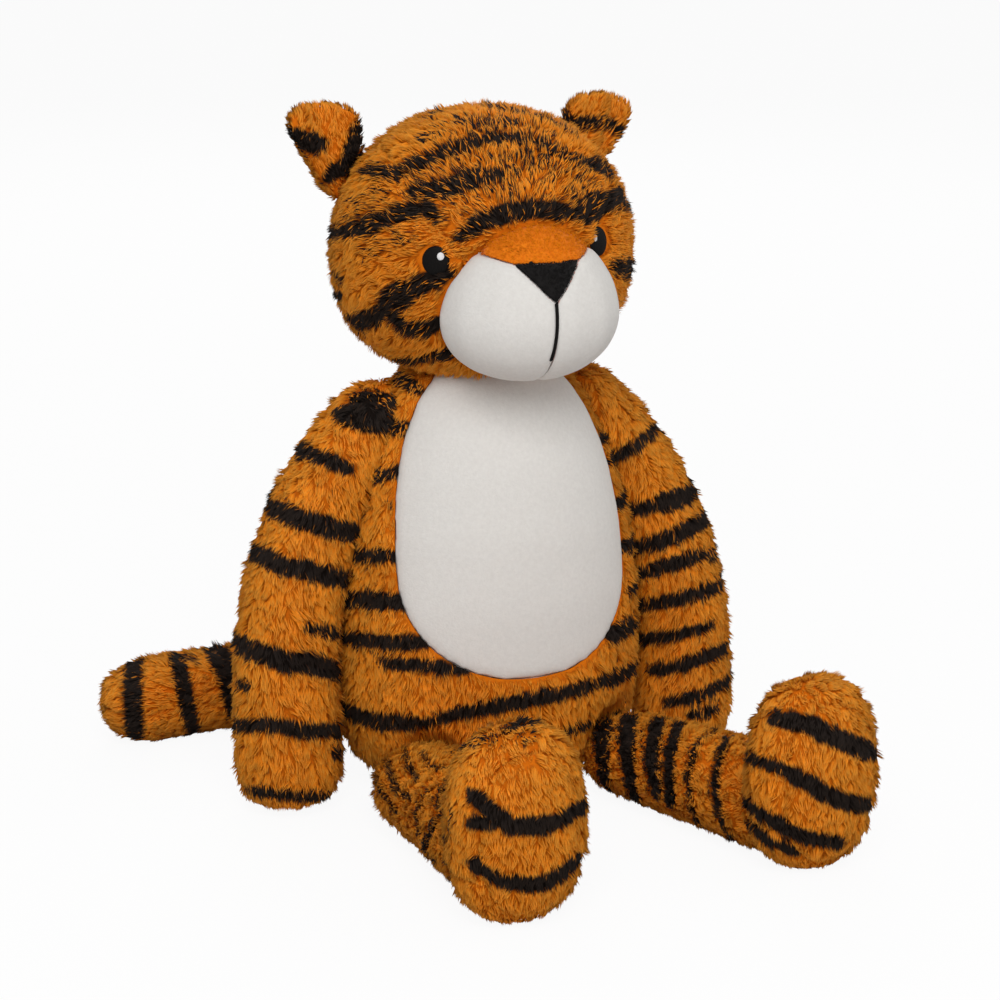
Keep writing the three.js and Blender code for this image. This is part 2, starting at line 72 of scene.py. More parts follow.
def makeCamera():
    back, right, up = cameraAxes()
    data = bpy.data.cameras.new("camera")
    data.lens = cameraView["lens"]
    data.sensor_width = cameraView["sensor"]
    data.clip_start, data.clip_end = cameraView["clip"]
    camera = bpy.data.objects.new("camera", data)
    scene.collection.objects.link(camera)
    camera.location = cameraView["target"] + back * cameraView["distance"]
    camera.rotation_mode = "QUATERNION"
    camera.rotation_quaternion = Matrix((right, up, back)).transposed().to_quaternion()
    scene.camera = camera


def sightLine(x, y):
    # The line from the camera through a point of the 1000 by 1000 picture
    back, right, up = cameraAxes()
    half = cameraView["pictureSize"] / 2
    scale = cameraView["sensor"] / cameraView["lens"] / cameraView["pictureSize"]
    direction = -back + right * ((x - half) * scale) - up * ((y - half) * scale)
    return cameraView["target"] + back * cameraView["distance"], direction.normalized()


# The body and the CAD nodes of each stuffed form, and how finely it is remeshed and smoothed

def formSpec(body, covers, stuffing, voxel, passes=14):
    return {"body": body, "covers": covers, "stuffing": stuffing, "voxel": voxel * mm, "smoothing": passes}


torsoCovers = ["torso_front_cover", "torso_back_cover", "belly_panel"]
headCovers = ["forehead_gusset", "head_right_panel", "head_left_panel"]
muzzleCovers = ["muzzle_right_panel", "muzzle_left_panel", "nose_bridge", "nose_panel"]
forms = {
    "torso": formSpec("torso", torsoCovers, "torso_stuffing", 4.0),
    "head": formSpec("head", headCovers, "head_stuffing", 3.6),
    "muzzle": formSpec("head", muzzleCovers, "muzzle_stuffing", 2.0, 70),
    "tail": formSpec("tail", ["tail_lower_panel", "tail_upper_panel"], "tail_stuffing", 3.6),
}
for side in ("right", "left"):
    arm, leg, ear = f"{side}_arm", f"{side}_leg", f"{side}_ear"
    armCovers = [f"{arm}_front_panel", f"{arm}_back_panel"]
    legCovers = [f"{leg}_upper_panel", f"{leg}_lower_panel", f"{side}_sole"]
    forms[side + "Arm"] = formSpec(arm, armCovers, f"{arm}_stuffing", 3.6)
    forms[side + "Leg"] = formSpec(leg, legCovers, f"{leg}_stuffing", 3.6)
    forms[side + "Ear"] = formSpec("head", [f"{ear}_front", f"{ear}_back"], None, 1.8)


# Mesh helpers

def linked(name, bm):
    data = bpy.data.meshes.new(name)
    bm.to_mesh(data)
    bm.free()
    piece = bpy.data.objects.new(name, data)
    scene.collection.objects.link(piece)
    return piece


def pointsOf(data):
    places = np.empty(len(data.vertices) * 3, np.float32)
    data.vertices.foreach_get("co", places)
    return places.reshape(-1, 3).astype(float)


def setPoints(data, places):
    data.vertices.foreach_set("co", np.ascontiguousarray(places, np.float32).ravel())
    data.update()


def normalsOf(data):
    normals = np.empty(len(data.vertices) * 3, np.float32)
    data.vertex_normals.foreach_get("vector", normals)
    return normals.reshape(-1, 3).astype(float)


def applyAll(pieces):
    # The pieces' meshes with their modifiers, put in place of them
    graph = bpy.context.evaluated_depsgraph_get()
    made = [bpy.data.meshes.new_from_object(piece.evaluated_get(graph)) for piece in pieces]
    for piece, data in zip(pieces, made):
        piece.modifiers.clear()
        old = piece.data
        piece.data = data
        bpy.data.meshes.remove(old)
        data.name = piece.name


def surfaceTree(piece):
    bm = bmesh.new()
    bm.from_mesh(piece.data)
    tree = BVHTree.FromBMesh(bm)
    bm.free()
    return tree


def nodeTree(node):
    bm = bmesh.new()
    bm.from_mesh(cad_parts[node].data)
    tree = BVHTree.FromBMesh(bm)
    bm.free()
    return tree


def nearestOn(tree, places):
    found = [tree.find_nearest(p) for p in places.tolist()]
    return np.array([f[0] for f in found]), np.array([f[3] for f in found])


def smoothNoise(places, size, seed):
    # A soft value from -1 to 1 that changes over about the given size
    rng = np.random.default_rng(seed)
    total = np.zeros(len(places))
    for _ in range(5):
        direction = rng.normal(size=3)
        direction /= np.linalg.norm(direction)
        wave = 2 * math.pi / (size * rng.uniform(0.8, 2.2))
        turn = places @ direction * wave + rng.uniform(0, 2 * math.pi)
        bend = np.sin(places @ rng.normal(size=3) / size + rng.uniform(0, 6))
        total += np.sin(turn + bend)
    return total / 3


def unit(vectors):
    return vectors / np.maximum(np.linalg.norm(vectors, axis=1), 1e-9)[:, None]


def flattened(vectors, normals):
    # The part of each vector that lies along the surface, at unit length
    return unit(vectors - (vectors * normals).sum(1)[:, None] * normals)


# Stuffed forms: the CAD covers closed up by a voxel remesh, puffed out between their seams by pressure

seamEdge = 1.1 * mm
seamPasses = 10
puffing = {
    "pressure": 4.0,
    "frames": 20,
    "cap": 2.2 * mm,
    "quality": 5,
    "mass": 0.2,
    "stretch": 12,
    "bending": 0.6,
    "seamReach": 5 * mm,
    "seamDepth": 2.0 * mm,
}


def remeshed(name, nodes, voxel, passes):
    # One closed mesh round the CAD nodes, to be applied with the others
    bm = bmesh.new()
    for node in nodes:
        bm.from_mesh(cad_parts[node].data)
    bmesh.ops.remove_doubles(bm, verts=bm.verts, dist=0.01 * mm)
    piece = linked(name, bm)
    remesh = piece.modifiers.new("remesh", "REMESH")
    remesh.mode, remesh.voxel_size = "VOXEL", voxel
    smooth = piece.modifiers.new("smooth", "SMOOTH")
    smooth.factor, smooth.iterations = 0.5, passes
    return piece


def coverOfFaces(piece, spec):
    # The index of each face's cover, each corner's distance to the cover next to its own, and all distances
    places = pointsOf(piece.data)
    near = [nearestOn(nodeTree(node), places) for node in spec["covers"]]
    away = np.array([n[1] for n in near])
    corners = np.empty(len(piece.data.loops), np.int32)
    piece.data.loops.foreach_get("vertex_index", corners)
    faceAway = away[:, corners.reshape(-1, 4)].mean(2)
    return faceAway.argmin(0), np.sort(away, 0)[1], near


def snapSeams(piece, faceCover, near):
    # Corners between two covers move onto the edge of the farther one, which runs smoothly
    places = pointsOf(piece.data)
    touching = [set() for _ in places]
    for polygon in piece.data.polygons:
        for corner in polygon.vertices:
            touching[corner].add(int(faceCover[polygon.index]))
    border = np.zeros(len(places), bool)
    for corner, covers in enumerate(touching):
        if len(covers) > 1:
            border[corner] = True
            farther = max(covers, key=lambda k: near[k][1][corner])
            places[corner] = near[farther][0][corner]
    setPoints(piece.data, evenSeams(piece, faceCover, places))
    return border


def evenSeams(piece, faceCover, places):
    # The same places, with each seam evened out along its length and its ends kept
    sides = {}
    for polygon in piece.data.polygons:
        for edge in polygon.edge_keys:
            sides.setdefault(edge, set()).add(int(faceCover[polygon.index]))
    beside = {}
    for (a, b), covers in sides.items():
        if len(covers) > 1:
            beside.setdefault(a, []).append(b)
            beside.setdefault(b, []).append(a)
    inner = [corner for corner, others in beside.items() if len(others) == 2]
    first, second = np.array([beside[corner] for corner in inner]).T
    for _ in range(seamPasses):
        places[inner] = (places[inner] * 2 + places[first] + places[second]) / 4
    return places


def addCloth(piece, border):
    # Cloth under pressure, held at the seams
    group = piece.vertex_groups.new(name="held")
    group.add([int(i) for i in np.flatnonzero(border)], 1.0, "REPLACE")
    settings = piece.modifiers.new("cloth", "CLOTH").settings
    settings.quality = puffing["quality"]
    settings.mass = puffing["mass"]
    settings.tension_stiffness = settings.compression_stiffness = puffing["stretch"]
    settings.bending_stiffness = puffing["bending"]
    settings.use_pressure = True
    settings.uniform_pressure_force = puffing["pressure"]
    settings.effector_weights.gravity = 0
    settings.vertex_group_mass = "held"


def puffAll(pieces):
    # The pieces as they are once the pressure has filled them, each moved by no more than the cap
    for number in range(1, puffing["frames"] + 1):
        scene.frame_set(number)
    graph = bpy.context.evaluated_depsgraph_get()
    for piece in pieces:
        start = pointsOf(piece.data)
        evaluated = piece.evaluated_get(graph)
        moved = pointsOf(evaluated.to_mesh()) - start
        evaluated.to_mesh_clear()
        piece.modifiers.clear()
        length = np.linalg.norm(moved, axis=1)
        scale = np.minimum(1, puffing["cap"] / np.maximum(length, 1e-9))
        setPoints(piece.data, start + moved * scale[:, None])
    scene.frame_set(1)


def roundedSeams(piece, seamAway):
    # Covers dip into the seams between them
    dip = np.clip(1 - seamAway / puffing["seamReach"], 0, 1) ** 2 * puffing["seamDepth"]
    setPoints(piece.data, pointsOf(piece.data) - normalsOf(piece.data) * dip[:, None])


# The ear is drawn in at its base, cupped forwards and creased outside its middle. The left one is closer in.
earShape = {
    "base": 0.62,
    "flare": 0.25,
    "corner": 0.75,
    "cup": 8 * mm,
    "crease": 6 * mm,
    "creaseWidth": 4 * mm,
    "creaseOut": 5 * mm,
    "raise": 0.3,
    "tipIn": 8 * mm,
    "tipOut": 11 * mm,
    "nudge": {"rightEar": (0, 0, 0), "leftEar": (-8 * mm, 0, -2 * mm)},
}


def shapeEar(name, piece):
    places = pointsOf(piece.data)
    low, high = places.min(0), places.max(0)
    outward = 1 if low[0] > 0 else -1
    middle = (low[0] + high[0]) / 2
    base = np.array((middle - outward * earShape["tipIn"], 0, low[2]))
    tip = np.array((middle + outward * earShape["tipOut"], 0, high[2]))
    along = (tip - base) / np.linalg.norm(tip - base)
    rel = places - base
    share = np.clip(rel @ along / np.linalg.norm(tip - base), 0, 1)
    across = rel[:, 0] * along[2] - rel[:, 2] * along[0]
    half = (high[0] - low[0]) / 2
    widen = earShape["base"] + earShape["flare"] * share + earShape["corner"] * share ** 3 - 1
    places[:, 0] += widen * across * along[2]
    places[:, 2] -= widen * across * along[0]
    across = across * (widen + 1)
    places[:, 2] += earShape["raise"] * outward * across * share
    cup = -earShape["cup"] * (across / half) ** 2 * share
    crease = np.exp(-(((across - outward * earShape["creaseOut"]) / earShape["creaseWidth"]) ** 2))
    places[:, 1] += cup + earShape["crease"] * crease * share
    setPoints(piece.data, places + np.array(earShape["nudge"][name]))


# What some forms change in the shape of their solid: the muzzle is a little narrower and further to the
# left, the head narrower and lower at its crown, and the legs flatter where they are sewn on
muzzleFit = {"squeeze": 0.95, "shift": 2.5 * mm}
headFit = {"middle": 325 * mm, "crown": 0.95, "squeeze": 0.97}
hipFit = {"flatter": 0.27, "from": -60 * mm, "to": -185 * mm}


def fitForm(name, piece):
    places = pointsOf(piece.data)
    if name == "muzzle":
        places[:, 0] = places[:, 0] * muzzleFit["squeeze"] + muzzleFit["shift"]
    elif name == "head":
        above = np.maximum(places[:, 2] - headFit["middle"], 0)
        places[:, 2] -= above * (1 - headFit["crown"])
        places[:, 0] *= headFit["squeeze"]
    elif "Leg" in name:
        share = np.clip((places[:, 1] - hipFit["to"]) / (hipFit["from"] - hipFit["to"]), 0, 1)
        places[:, 2] *= 1 - hipFit["flatter"] * share * share * (3 - 2 * share)
    setPoints(piece.data, places)


def makeForms():
    for name, spec in forms.items():
        nodes = spec["covers"] + ([spec["stuffing"]] if spec["stuffing"] else [])
        spec["piece"] = remeshed(name + "Form", nodes, spec["voxel"], spec["smoothing"])
    applyAll([spec["piece"] for spec in forms.values()])
    for name, spec in forms.items():
        piece = spec["piece"]
        spec["faceCover"], spec["seamAway"], near = coverOfFaces(piece, spec)
        border = snapSeams(piece, spec["faceCover"], near)
        if "Ear" not in name:
            addCloth(piece, border)
    puffAll([spec["piece"] for name, spec in forms.items() if "Ear" not in name])
    for name, spec in forms.items():
        piece = spec["piece"]
        roundedSeams(piece, spec["seamAway"])
        if "Ear" in name:
            shapeEar(name, piece)
        fitForm(name, piece)
        spec["tree"] = surfaceTree(piece)
        places = pointsOf(piece.data)
        spec["low"], spec["high"] = Vector(places.min(0)), Vector(places.max(0))
        print("form", name, len(piece.data.polygons), "faces")


# Stripes. Each one that the photograph shows has its width there in pixels, how solid its black is, and
# points of the 1000 by 1000 picture from end to end.

pixelSize = 0.6 * mm
stripeStep = 3.0
stripeEdge = {"reach": 3 * mm, "wander": 0.7 * mm, "wanderSize": 7 * mm, "grow": 1.4 * mm, "onCloth": 0.6}
stripeEnds = {"seen": 0.45, "unseen": 0.5}
seenStripes = {
    "head": [
        (16, 0.65, [(430, 121), (450, 108), (470, 104), (498, 112), (527, 117), (554, 127), (572, 138)]),
        (14, 0.55, [(462, 121), (490, 127), (515, 126)]),
        (14, 0.9, [(367, 172), (396, 174), (411, 167), (430, 160),
                   (445, 153), (469, 145), (493, 139), (517, 139)]),
        (14, 0.75, [(517, 139), (542, 146), (566, 156), (590, 168)]),
        (18, 0.95, [(590, 166), (600, 170), (612, 172)]),
        (16, 0.85, [(412, 192), (445, 188), (474, 179), (503, 174)]),
        (16, 0.45, [(503, 168), (530, 160), (548, 166)]),
        (14, 0.95, [(460, 236), (481, 223), (505, 214), (532, 210), (554, 211), (575, 215)]),
        (23, 0.95, [(575, 215), (590, 208), (606, 202)]),
        (18, 1, [(606, 202), (630, 194)]),
        (14, 0.95, [(325, 236), (355, 230), (379, 223), (401, 213), (425, 209), (436, 214)]),
        (9, 0.9, [(339, 274), (345, 279)]),
        (15, 0.9, [(447, 274), (430, 281), (411, 288)]),
        (23, 0.95, [(411, 288), (396, 299), (384, 308)]),
        (15, 1, [(384, 310), (370, 318), (352, 321)]),
        (15, 0.95, [(391, 310), (403, 324), (418, 328), (444, 322)]),
        (9, 0.95, [(386, 357), (420, 357), (445, 352), (462, 347)]),
        (14, 0.95, [(611, 265), (624, 271), (636, 277)]),
    ],
    "rightEar": [
        (17, 1, [(285, 128), (302, 141), (322, 143)]),
        (13, 1, [(358, 124), (353, 148), (344, 165), (328, 177)]),
    ],
    "leftEar": [
        (10, 0.8, [(560, 115), (583, 123), (605, 123), (622, 132), (634, 131)]),
    ],
    "torso": [
        (11, 0.7, [(380, 383), (400, 380), (420, 391)]),
        (12, 0.7, [(383, 428), (411, 429)]),
        (9, 0.85, [(375, 478), (405, 470)]),
        (9, 0.5, [(392, 504), (400, 510)]),
        (11, 0.95, [(345, 555), (397, 557)]),
        (14, 1, [(335, 600), (372, 600), (407, 604)]),
        (12, 1, [(335, 633), (372, 641), (428, 642)]),
        (10, 1, [(383, 662), (417, 665), (466, 670)]),
        (15, 1, [(338, 703), (360, 714), (386, 721), (429, 721)]),
        (12, 1, [(429, 721), (468, 711), (519, 701), (557, 694), (595, 683)]),
        (13, 1, [(595, 682), (615, 676), (640, 662)]),
        (15, 0.95, [(608, 637), (634, 621)]),
        (9, 0.95, [(566, 728), (595, 723), (616, 711)]),
        (9, 0.8, [(599, 384), (612, 390)]),
        (8, 0.8, [(601, 430), (614, 434)]),
        (8, 0.85, [(608, 462), (620, 458)]),
        (8, 0.9, [(621, 507), (634, 505)]),
        (7, 0.9, [(626, 552), (637, 550)]),
        (7, 0.9, [(627, 597), (638, 595)]),
    ],
    "rightArm": [
        (24, 1, [(341, 413), (362, 418), (388, 424)]),
        (22, 0.85, [(357, 401), (374, 399), (390, 404)]),
        (14, 1, [(296, 449), (312, 456)]),
        (11, 1, [(312, 456), (330, 462), (350, 469)]),
        (17, 1, [(262, 505), (299, 519), (327, 527), (362, 534)]),
        (16, 1, [(246, 549), (285, 566), (313, 572), (350, 582)]),
        (9, 0.95, [(308, 627), (327, 632), (348, 638)]),
        (18, 1, [(228, 640), (257, 651), (285, 661), (313, 664), (346, 677)]),
        (8, 0.95, [(229, 680), (251, 686)]),
        (12, 1, [(230, 727), (271, 725), (299, 729), (350, 732)]),
        (9, 0.95, [(330, 753), (348, 760)]),
        (9, 0.95, [(250, 789), (299, 795), (327, 795)]),
    ],
    "leftArm": [
        (10, 1, [(606, 460), (637, 444), (660, 425)]),
        (12, 1, [(625, 511), (655, 505)]),
        (18, 1, [(655, 505), (690, 494)]),
        (14, 1, [(628, 549), (668, 538), (710, 516)]),
        (12, 1, [(630, 575), (668, 565), (700, 554)]),
        (6, 0.9, [(700, 554), (712, 560), (716, 574)]),
        (11, 1, [(630, 605), (672, 600), (725, 584)]),
        (9, 1, [(630, 640), (672, 635), (709, 625)]),
        (12, 1, [(652, 670), (684, 664), (728, 646)]),
        (11, 1, [(668, 702), (697, 696), (728, 678)]),
        (9, 0.9, [(690, 715), (715, 709)]),
    ],
    "rightLeg": [
        (10, 1, [(505, 732), (527, 726), (555, 726)]),
        (10, 0.6, [(466, 750), (486, 741), (499, 746)]),
        (7, 0.5, [(519, 743), (533, 737)]),
        (9, 0.9, [(580, 750), (588, 770)]),
        (12, 1, [(472, 794), (488, 808), (506, 818)]),
        (9, 1, [(470, 822), (494, 825)]),
        (14, 1, [(500, 822), (527, 826), (555, 821)]),
        (12, 1, [(555, 821), (590, 801)]),
        (11, 1, [(472, 861), (497, 878)]),
        (13, 1, [(497, 878), (522, 883), (549, 878), (590, 849)]),
        (3, 0.9, [(373, 760), (383, 790), (399, 812)]),
        (3, 0.9, [(387, 752), (396, 785), (412, 800)]),
        (4, 0.9, [(404, 750), (411, 770), (420, 783)]),
        (4, 0.9, [(430, 790), (419, 812), (421, 834)]),
        (3, 0.9, [(424, 757), (431, 768), (446, 772)]),
        (5, 0.9, [(449, 784), (439, 801), (447, 820)]),
        (6, 0.9, [(436, 823), (428, 846), (438, 858)]),
        (4, 0.9, [(449, 759), (461, 746), (474, 743)]),
        (3, 0.9, [(441, 866), (458, 889)]),
        (3, 0.9, [(455, 812), (450, 850), (456, 878)]),
    ],
    "leftLeg": [
        # The first five stripes, on the thigh beside the body, are partly painted shade: they are widened to
        # darken the thigh where it lies in shade.
        (17, 0.95, [(607, 708), (603, 745), (606, 790)]),
        (15, 1, [(632, 702), (628, 757), (637, 800)]),
        (10, 1, [(643, 702), (654, 708)]),
        (14, 1, [(660, 718), (652, 757), (658, 795)]),
        (11, 1, [(681, 720), (671, 758), (672, 805)]),
        (5, 0.8, [(717, 733), (697, 747), (689, 777), (693, 807), (704, 828)]),
        (6, 1, [(765, 690), (733, 733), (718, 767), (718, 803), (736, 846)]),
        (6, 0.9, [(776, 682), (796, 678)]),
        (15, 1, [(773, 719), (805, 724), (837, 739), (878, 757)]),
        (9, 0.95, [(751, 757), (783, 769)]),
        (13, 1, [(783, 769), (817, 788), (840, 800), (870, 806)]),
        (12, 1, [(750, 803), (777, 822), (803, 835), (840, 842)]),
        (8, 1, [(750, 822), (770, 838), (796, 852)]),
    ],
    "tail": [
        (16, 1, [(136, 655), (133, 700), (137, 750)]),
        (14, 1, [(175, 655), (186, 700), (195, 745)]),
        (12, 1, [(203, 645), (222, 675), (233, 715)]),
        (8, 0.9, [(189, 659), (193, 664)]),
    ],
}

# Patches of dark hairs among the orange ones, written in the same way
seenPatches = {
    "head": [
        (26, 0.3, [(430, 140), (470, 128), (510, 128), (550, 140)]),
        (28, 0.34, [(412, 182), (460, 165), (510, 158), (560, 170), (590, 185)]),
        (30, 0.34, [(440, 215), (480, 202), (530, 190), (580, 194)]),
        (24, 0.22, [(352, 205), (385, 196), (420, 186)]),
        (20, 0.2, [(372, 250), (395, 240), (420, 228)]),
    ],
    "leftLeg": [
        # This patch on the left thigh is partly painted shade: dark hairs where the thigh lies in shade
        # beside the body.
        (30, 0.3, [(607, 730), (640, 745), (665, 755)]),
    ],
}

# Behind the silhouette the arms and ears repeat their stripes across a plane through their middle, apart
# from what would face the camera or lie close to the stripe itself. The other forms have stripes of their
# own there: width in millimetres, solidness, points in millimetres.
mirrored = {"forms": ("rightArm", "leftArm", "rightEar", "leftEar"), "facing": 0.15, "apart": 12 * mm}
unseenStripes = {
    "torso": [
        (7, 1, [(-60, 50, 228), (-25, 70, 221), (12, 72, 226)]),
        (7, 1, [(62, 48, 206), (25, 74, 199), (-14, 76, 204)]),
        (8, 1, [(-86, 30, 186), (-45, 72, 178), (0, 80, 182), (30, 78, 177)]),
        (8, 1, [(90, 25, 162), (50, 72, 153), (8, 82, 158)]),
        (9, 1, [(-93, 20, 138), (-55, 70, 129), (-8, 82, 134)]),
        (8, 1, [(93, 20, 116), (55, 72, 105), (0, 84, 110), (-34, 82, 104)]),
        (8, 1, [(-92, 20, 92), (-50, 74, 83), (8, 84, 88)]),
        (9, 1, [(90, 25, 66), (45, 74, 57), (-18, 82, 62)]),
        (8, 1, [(-86, 20, 42), (-45, 68, 33), (12, 78, 38)]),
        (6, 1, [(70, -50, 219), (84, -30, 216), (92, -4, 212)]),
        (6, 1, [(72, -50, 200), (86, -28, 197), (93, -4, 193)]),
        (7, 1, [(75, -48, 173), (88, -26, 170), (94, -2, 166)]),
        (7, 1, [(76, -48, 145), (89, -26, 142), (94, 0, 138)]),
        (7, 1, [(76, -46, 117), (89, -24, 113), (94, 0, 109)]),
    ],
    "head": [
        (7, 1, [(-70, 40, 374), (-35, 58, 381), (0, 62, 384), (40, 55, 378)]),
        (8, 1, [(85, 20, 352), (50, 62, 350), (10, 74, 346)]),
        (8, 1, [(-88, 8, 338), (-60, 50, 332), (-18, 74, 337)]),
        (8, 1, [(88, 15, 320), (55, 60, 312), (5, 76, 317), (-25, 72, 313)]),
        (7, 1, [(-86, 8, 302), (-50, 58, 295), (-12, 70, 300)]),
        (8, 1, [(76, 20, 284), (35, 60, 276), (-10, 66, 280)]),
        (7, 1, [(74, -42, 352), (88, -12, 345), (88, 12, 349)]),
        (9, 1, [(70, -46, 318), (86, -18, 308), (90, 6, 312)]),
        (7, 1, [(62, -44, 288), (80, -14, 281), (80, 6, 286)]),
    ],
    "rightLeg": [
        (6, 1, [(-50, -105, 6), (-42, -106, 24), (-52, -107, 42)]),
        (6, 1, [(-50, -128, 6), (-44, -129, 24), (-52, -130, 46)]),
        (6, 1, [(-52, -152, 6), (-47, -153, 26), (-54, -154, 48)]),
        (6, 1, [(-53, -176, 6), (-49, -177, 26), (-56, -178, 50)]),
    ],
    "leftLeg": [
        (7, 1, [(92, -100, 6), (106, -99, 24), (96, -98, 42)]),
        (6, 1, [(98, -122, 6), (111, -120, 26), (100, -119, 46)]),
        (7, 1, [(102, -146, 6), (115, -144, 26), (106, -142, 48)]),
        (6, 1, [(106, -170, 6), (118, -168, 26), (110, -166, 50)]),
        (7, 1, [(112, -200, 14), (134, -196, 40), (136, -192, 70)]),
    ],
    "tail": [
        (8, 1, [(-60, 160, 24), (-58, 130, 52), (-64, 105, 24)]),
        (8, 1, [(-95, 170, 24), (-90, 138, 52), (-92, 110, 24)]),
        (8, 1, [(-120, 175, 24), (-122, 142, 52), (-120, 110, 24)]),
        (8, 1, [(-34, 140, 24), (-38, 118, 50), (-50, 100, 24)]),
    ],
}


def pathPoints(points, step):
    # Even points along a smooth line through the given ones
    points = [Vector(p) for p in points]
    result = []
    for i in range(len(points) - 1):
        before, after = points[max(0, i - 1)], points[min(len(points) - 1, i + 2)]
        a, b = points[i], points[i + 1]
        count = max(1, int((b - a).length / step))
        for k in range(count):
            t = k / count
            result.append(
                0.5 * (2 * a + (b - before) * t + (2 * before - 5 * a + 4 * b - after) * t ** 2
                       + (3 * a - before - 3 * b + after) * t ** 3)
            )
    return result + [points[-1]]


def mirroredPlace(spec, place):
    back, _, _ = cameraAxes()
    flat = Vector((back.x, back.y, 0)).normalized()
    low, high = spec["low"], spec["high"]
    centre = (low + high) / 2
    return place - 2 * (place - centre).dot(flat) * flat


def findStripes(name, spec):
    # Points on the form's surface along its stripes, with the half width and the solidness there
    spec["stripes"] = marksOn(name, spec, seenStripes.get(name, []), unseenStripes.get(name, []))
    spec["patches"] = marksOn(name, spec, seenPatches.get(name, []), [])


def marksOn(name, spec, seen, unseen):
    tree = spec["tree"]
    back, _, _ = cameraAxes()
    marks = []
    for width, solid, points in seen:
        samples = pathPoints([(x, y, 0) for x, y in points], stripeStep)
        for i, sample in enumerate(samples):
            origin, direction = sightLine(sample.x, sample.y)
            hit, _, _, _ = tree.ray_cast(origin, direction)
            if hit is None:
                continue
            t = i / max(1, len(samples) - 1)
            radius = width / 2 * pixelSize * (1 - stripeEnds["seen"] * abs(2 * t - 1) ** 4)
            marks.append((hit, radius, solid))
            if name in mirrored["forms"]:
                behind, normal, _, _ = tree.find_nearest(mirroredPlace(spec, hit))
                if normal.dot(back) < mirrored["facing"] and (behind - hit).length > mirrored["apart"]:
                    marks.append((behind, radius, solid))
    for width, solid, points in unseen:
        samples = pathPoints(points, stripeStep)
        for i, sample in enumerate(samples):
            t = i / max(1, len(samples) - 1)
            place = tree.find_nearest(sample * mm)[0]
            radius = width / 2 * mm * (1 - stripeEnds["unseen"] * abs(2 * t - 1) ** 3)
            marks.append((place, radius, solid))
    near = KDTree(len(marks))
    for i, mark in enumerate(marks):
        near.insert(mark[0], i)
    near.balance()
    return near, np.array([mark[1] for mark in marks]), np.array([mark[2] for mark in marks])


def stripeAt(marks, places):
    # How far each place lies outside the nearest stripe, less than 0 inside it, and how solid the stripe is
    near, radius, solid = marks
    if not len(radius):
        return np.full(len(places), stripeEdge["reach"]), np.zeros(len(places))
    found = [near.find(place)[1:] for place in places.tolist()]
    index = np.array([f[0] for f in found])
    away = np.array([f[1] for f in found]) - radius[index] - stripeEdge["grow"]
    away += smoothNoise(places, stripeEdge["wanderSize"], 3) * stripeEdge["wander"]
    return np.clip(away, -stripeEdge["reach"], stripeEdge["reach"]), solid[index]


# Shader groups

def newGroup(name, inputs, outputs):
    tree = bpy.data.node_groups.new(name, "ShaderNodeTree")
    for label, kind, value in inputs:
        socket = tree.interface.new_socket(label, in_out="INPUT", socket_type=kind)
        socket.default_value = value
    for label, kind in outputs:
        tree.interface.new_socket(label, in_out="OUTPUT", socket_type=kind)
    return tree, tree.nodes.new("NodeGroupInput"), tree.nodes.new("NodeGroupOutput")


def srgb(*channels):
    shares = [channel / 255 for channel in channels]
    return tuple(s / 12.92 if s <= 0.04045 else ((s + 0.055) / 1.055) ** 2.4 for s in shares) + (1,)


def node(tree, kind, **values):
    made = tree.nodes.new(kind)
    for key, value in values.items():
        if key.startswith("in_"):
            label = key[3:]
            made.inputs[int(label) if label.isdigit() else label].default_value = value
        else:
            setattr(made, key, value)
    return made


def mixed(tree, factor, a, b, blend="MIX"):
    mix = node(tree, "ShaderNodeMix", data_type="RGBA", blend_type=blend)
    for socket, value in ((mix.inputs[0], factor), (mix.inputs[6], a), (mix.inputs[7], b)):
        if isinstance(value, bpy.types.NodeSocket):
            tree.links.new(value, socket)
        else:
            socket.default_value = value
    return mix.outputs[2]


def noiseOf(tree, coordinates, scale, detail=3.0, rough=0.5):
    noise = node(tree, "ShaderNodeTexNoise", in_Scale=scale, in_Detail=detail, in_Roughness=rough)
    tree.links.new(coordinates, noise.inputs["Vector"])
    return noise.outputs["Fac"]


# Root darker and tip lighter: painted shade deep in the pile and painted light on the tips, over the fur's
# own orange and black.
furColours = {
    "root": srgb(186, 82, 8),
    "middle": srgb(242, 138, 24),
    "tip": srgb(255, 172, 62),
    "black": srgb(20, 15, 13),
    "blackTip": srgb(44, 34, 28),
}
furInputs = {"Outside": 3.0, "Along": 0.5, "Tone": 0.5}
furMix = {"middleAt": 0.45, "darkest": 0.82, "lightest": 1.12, "stripeFrom": 1.5, "stripeFull": -1.2}


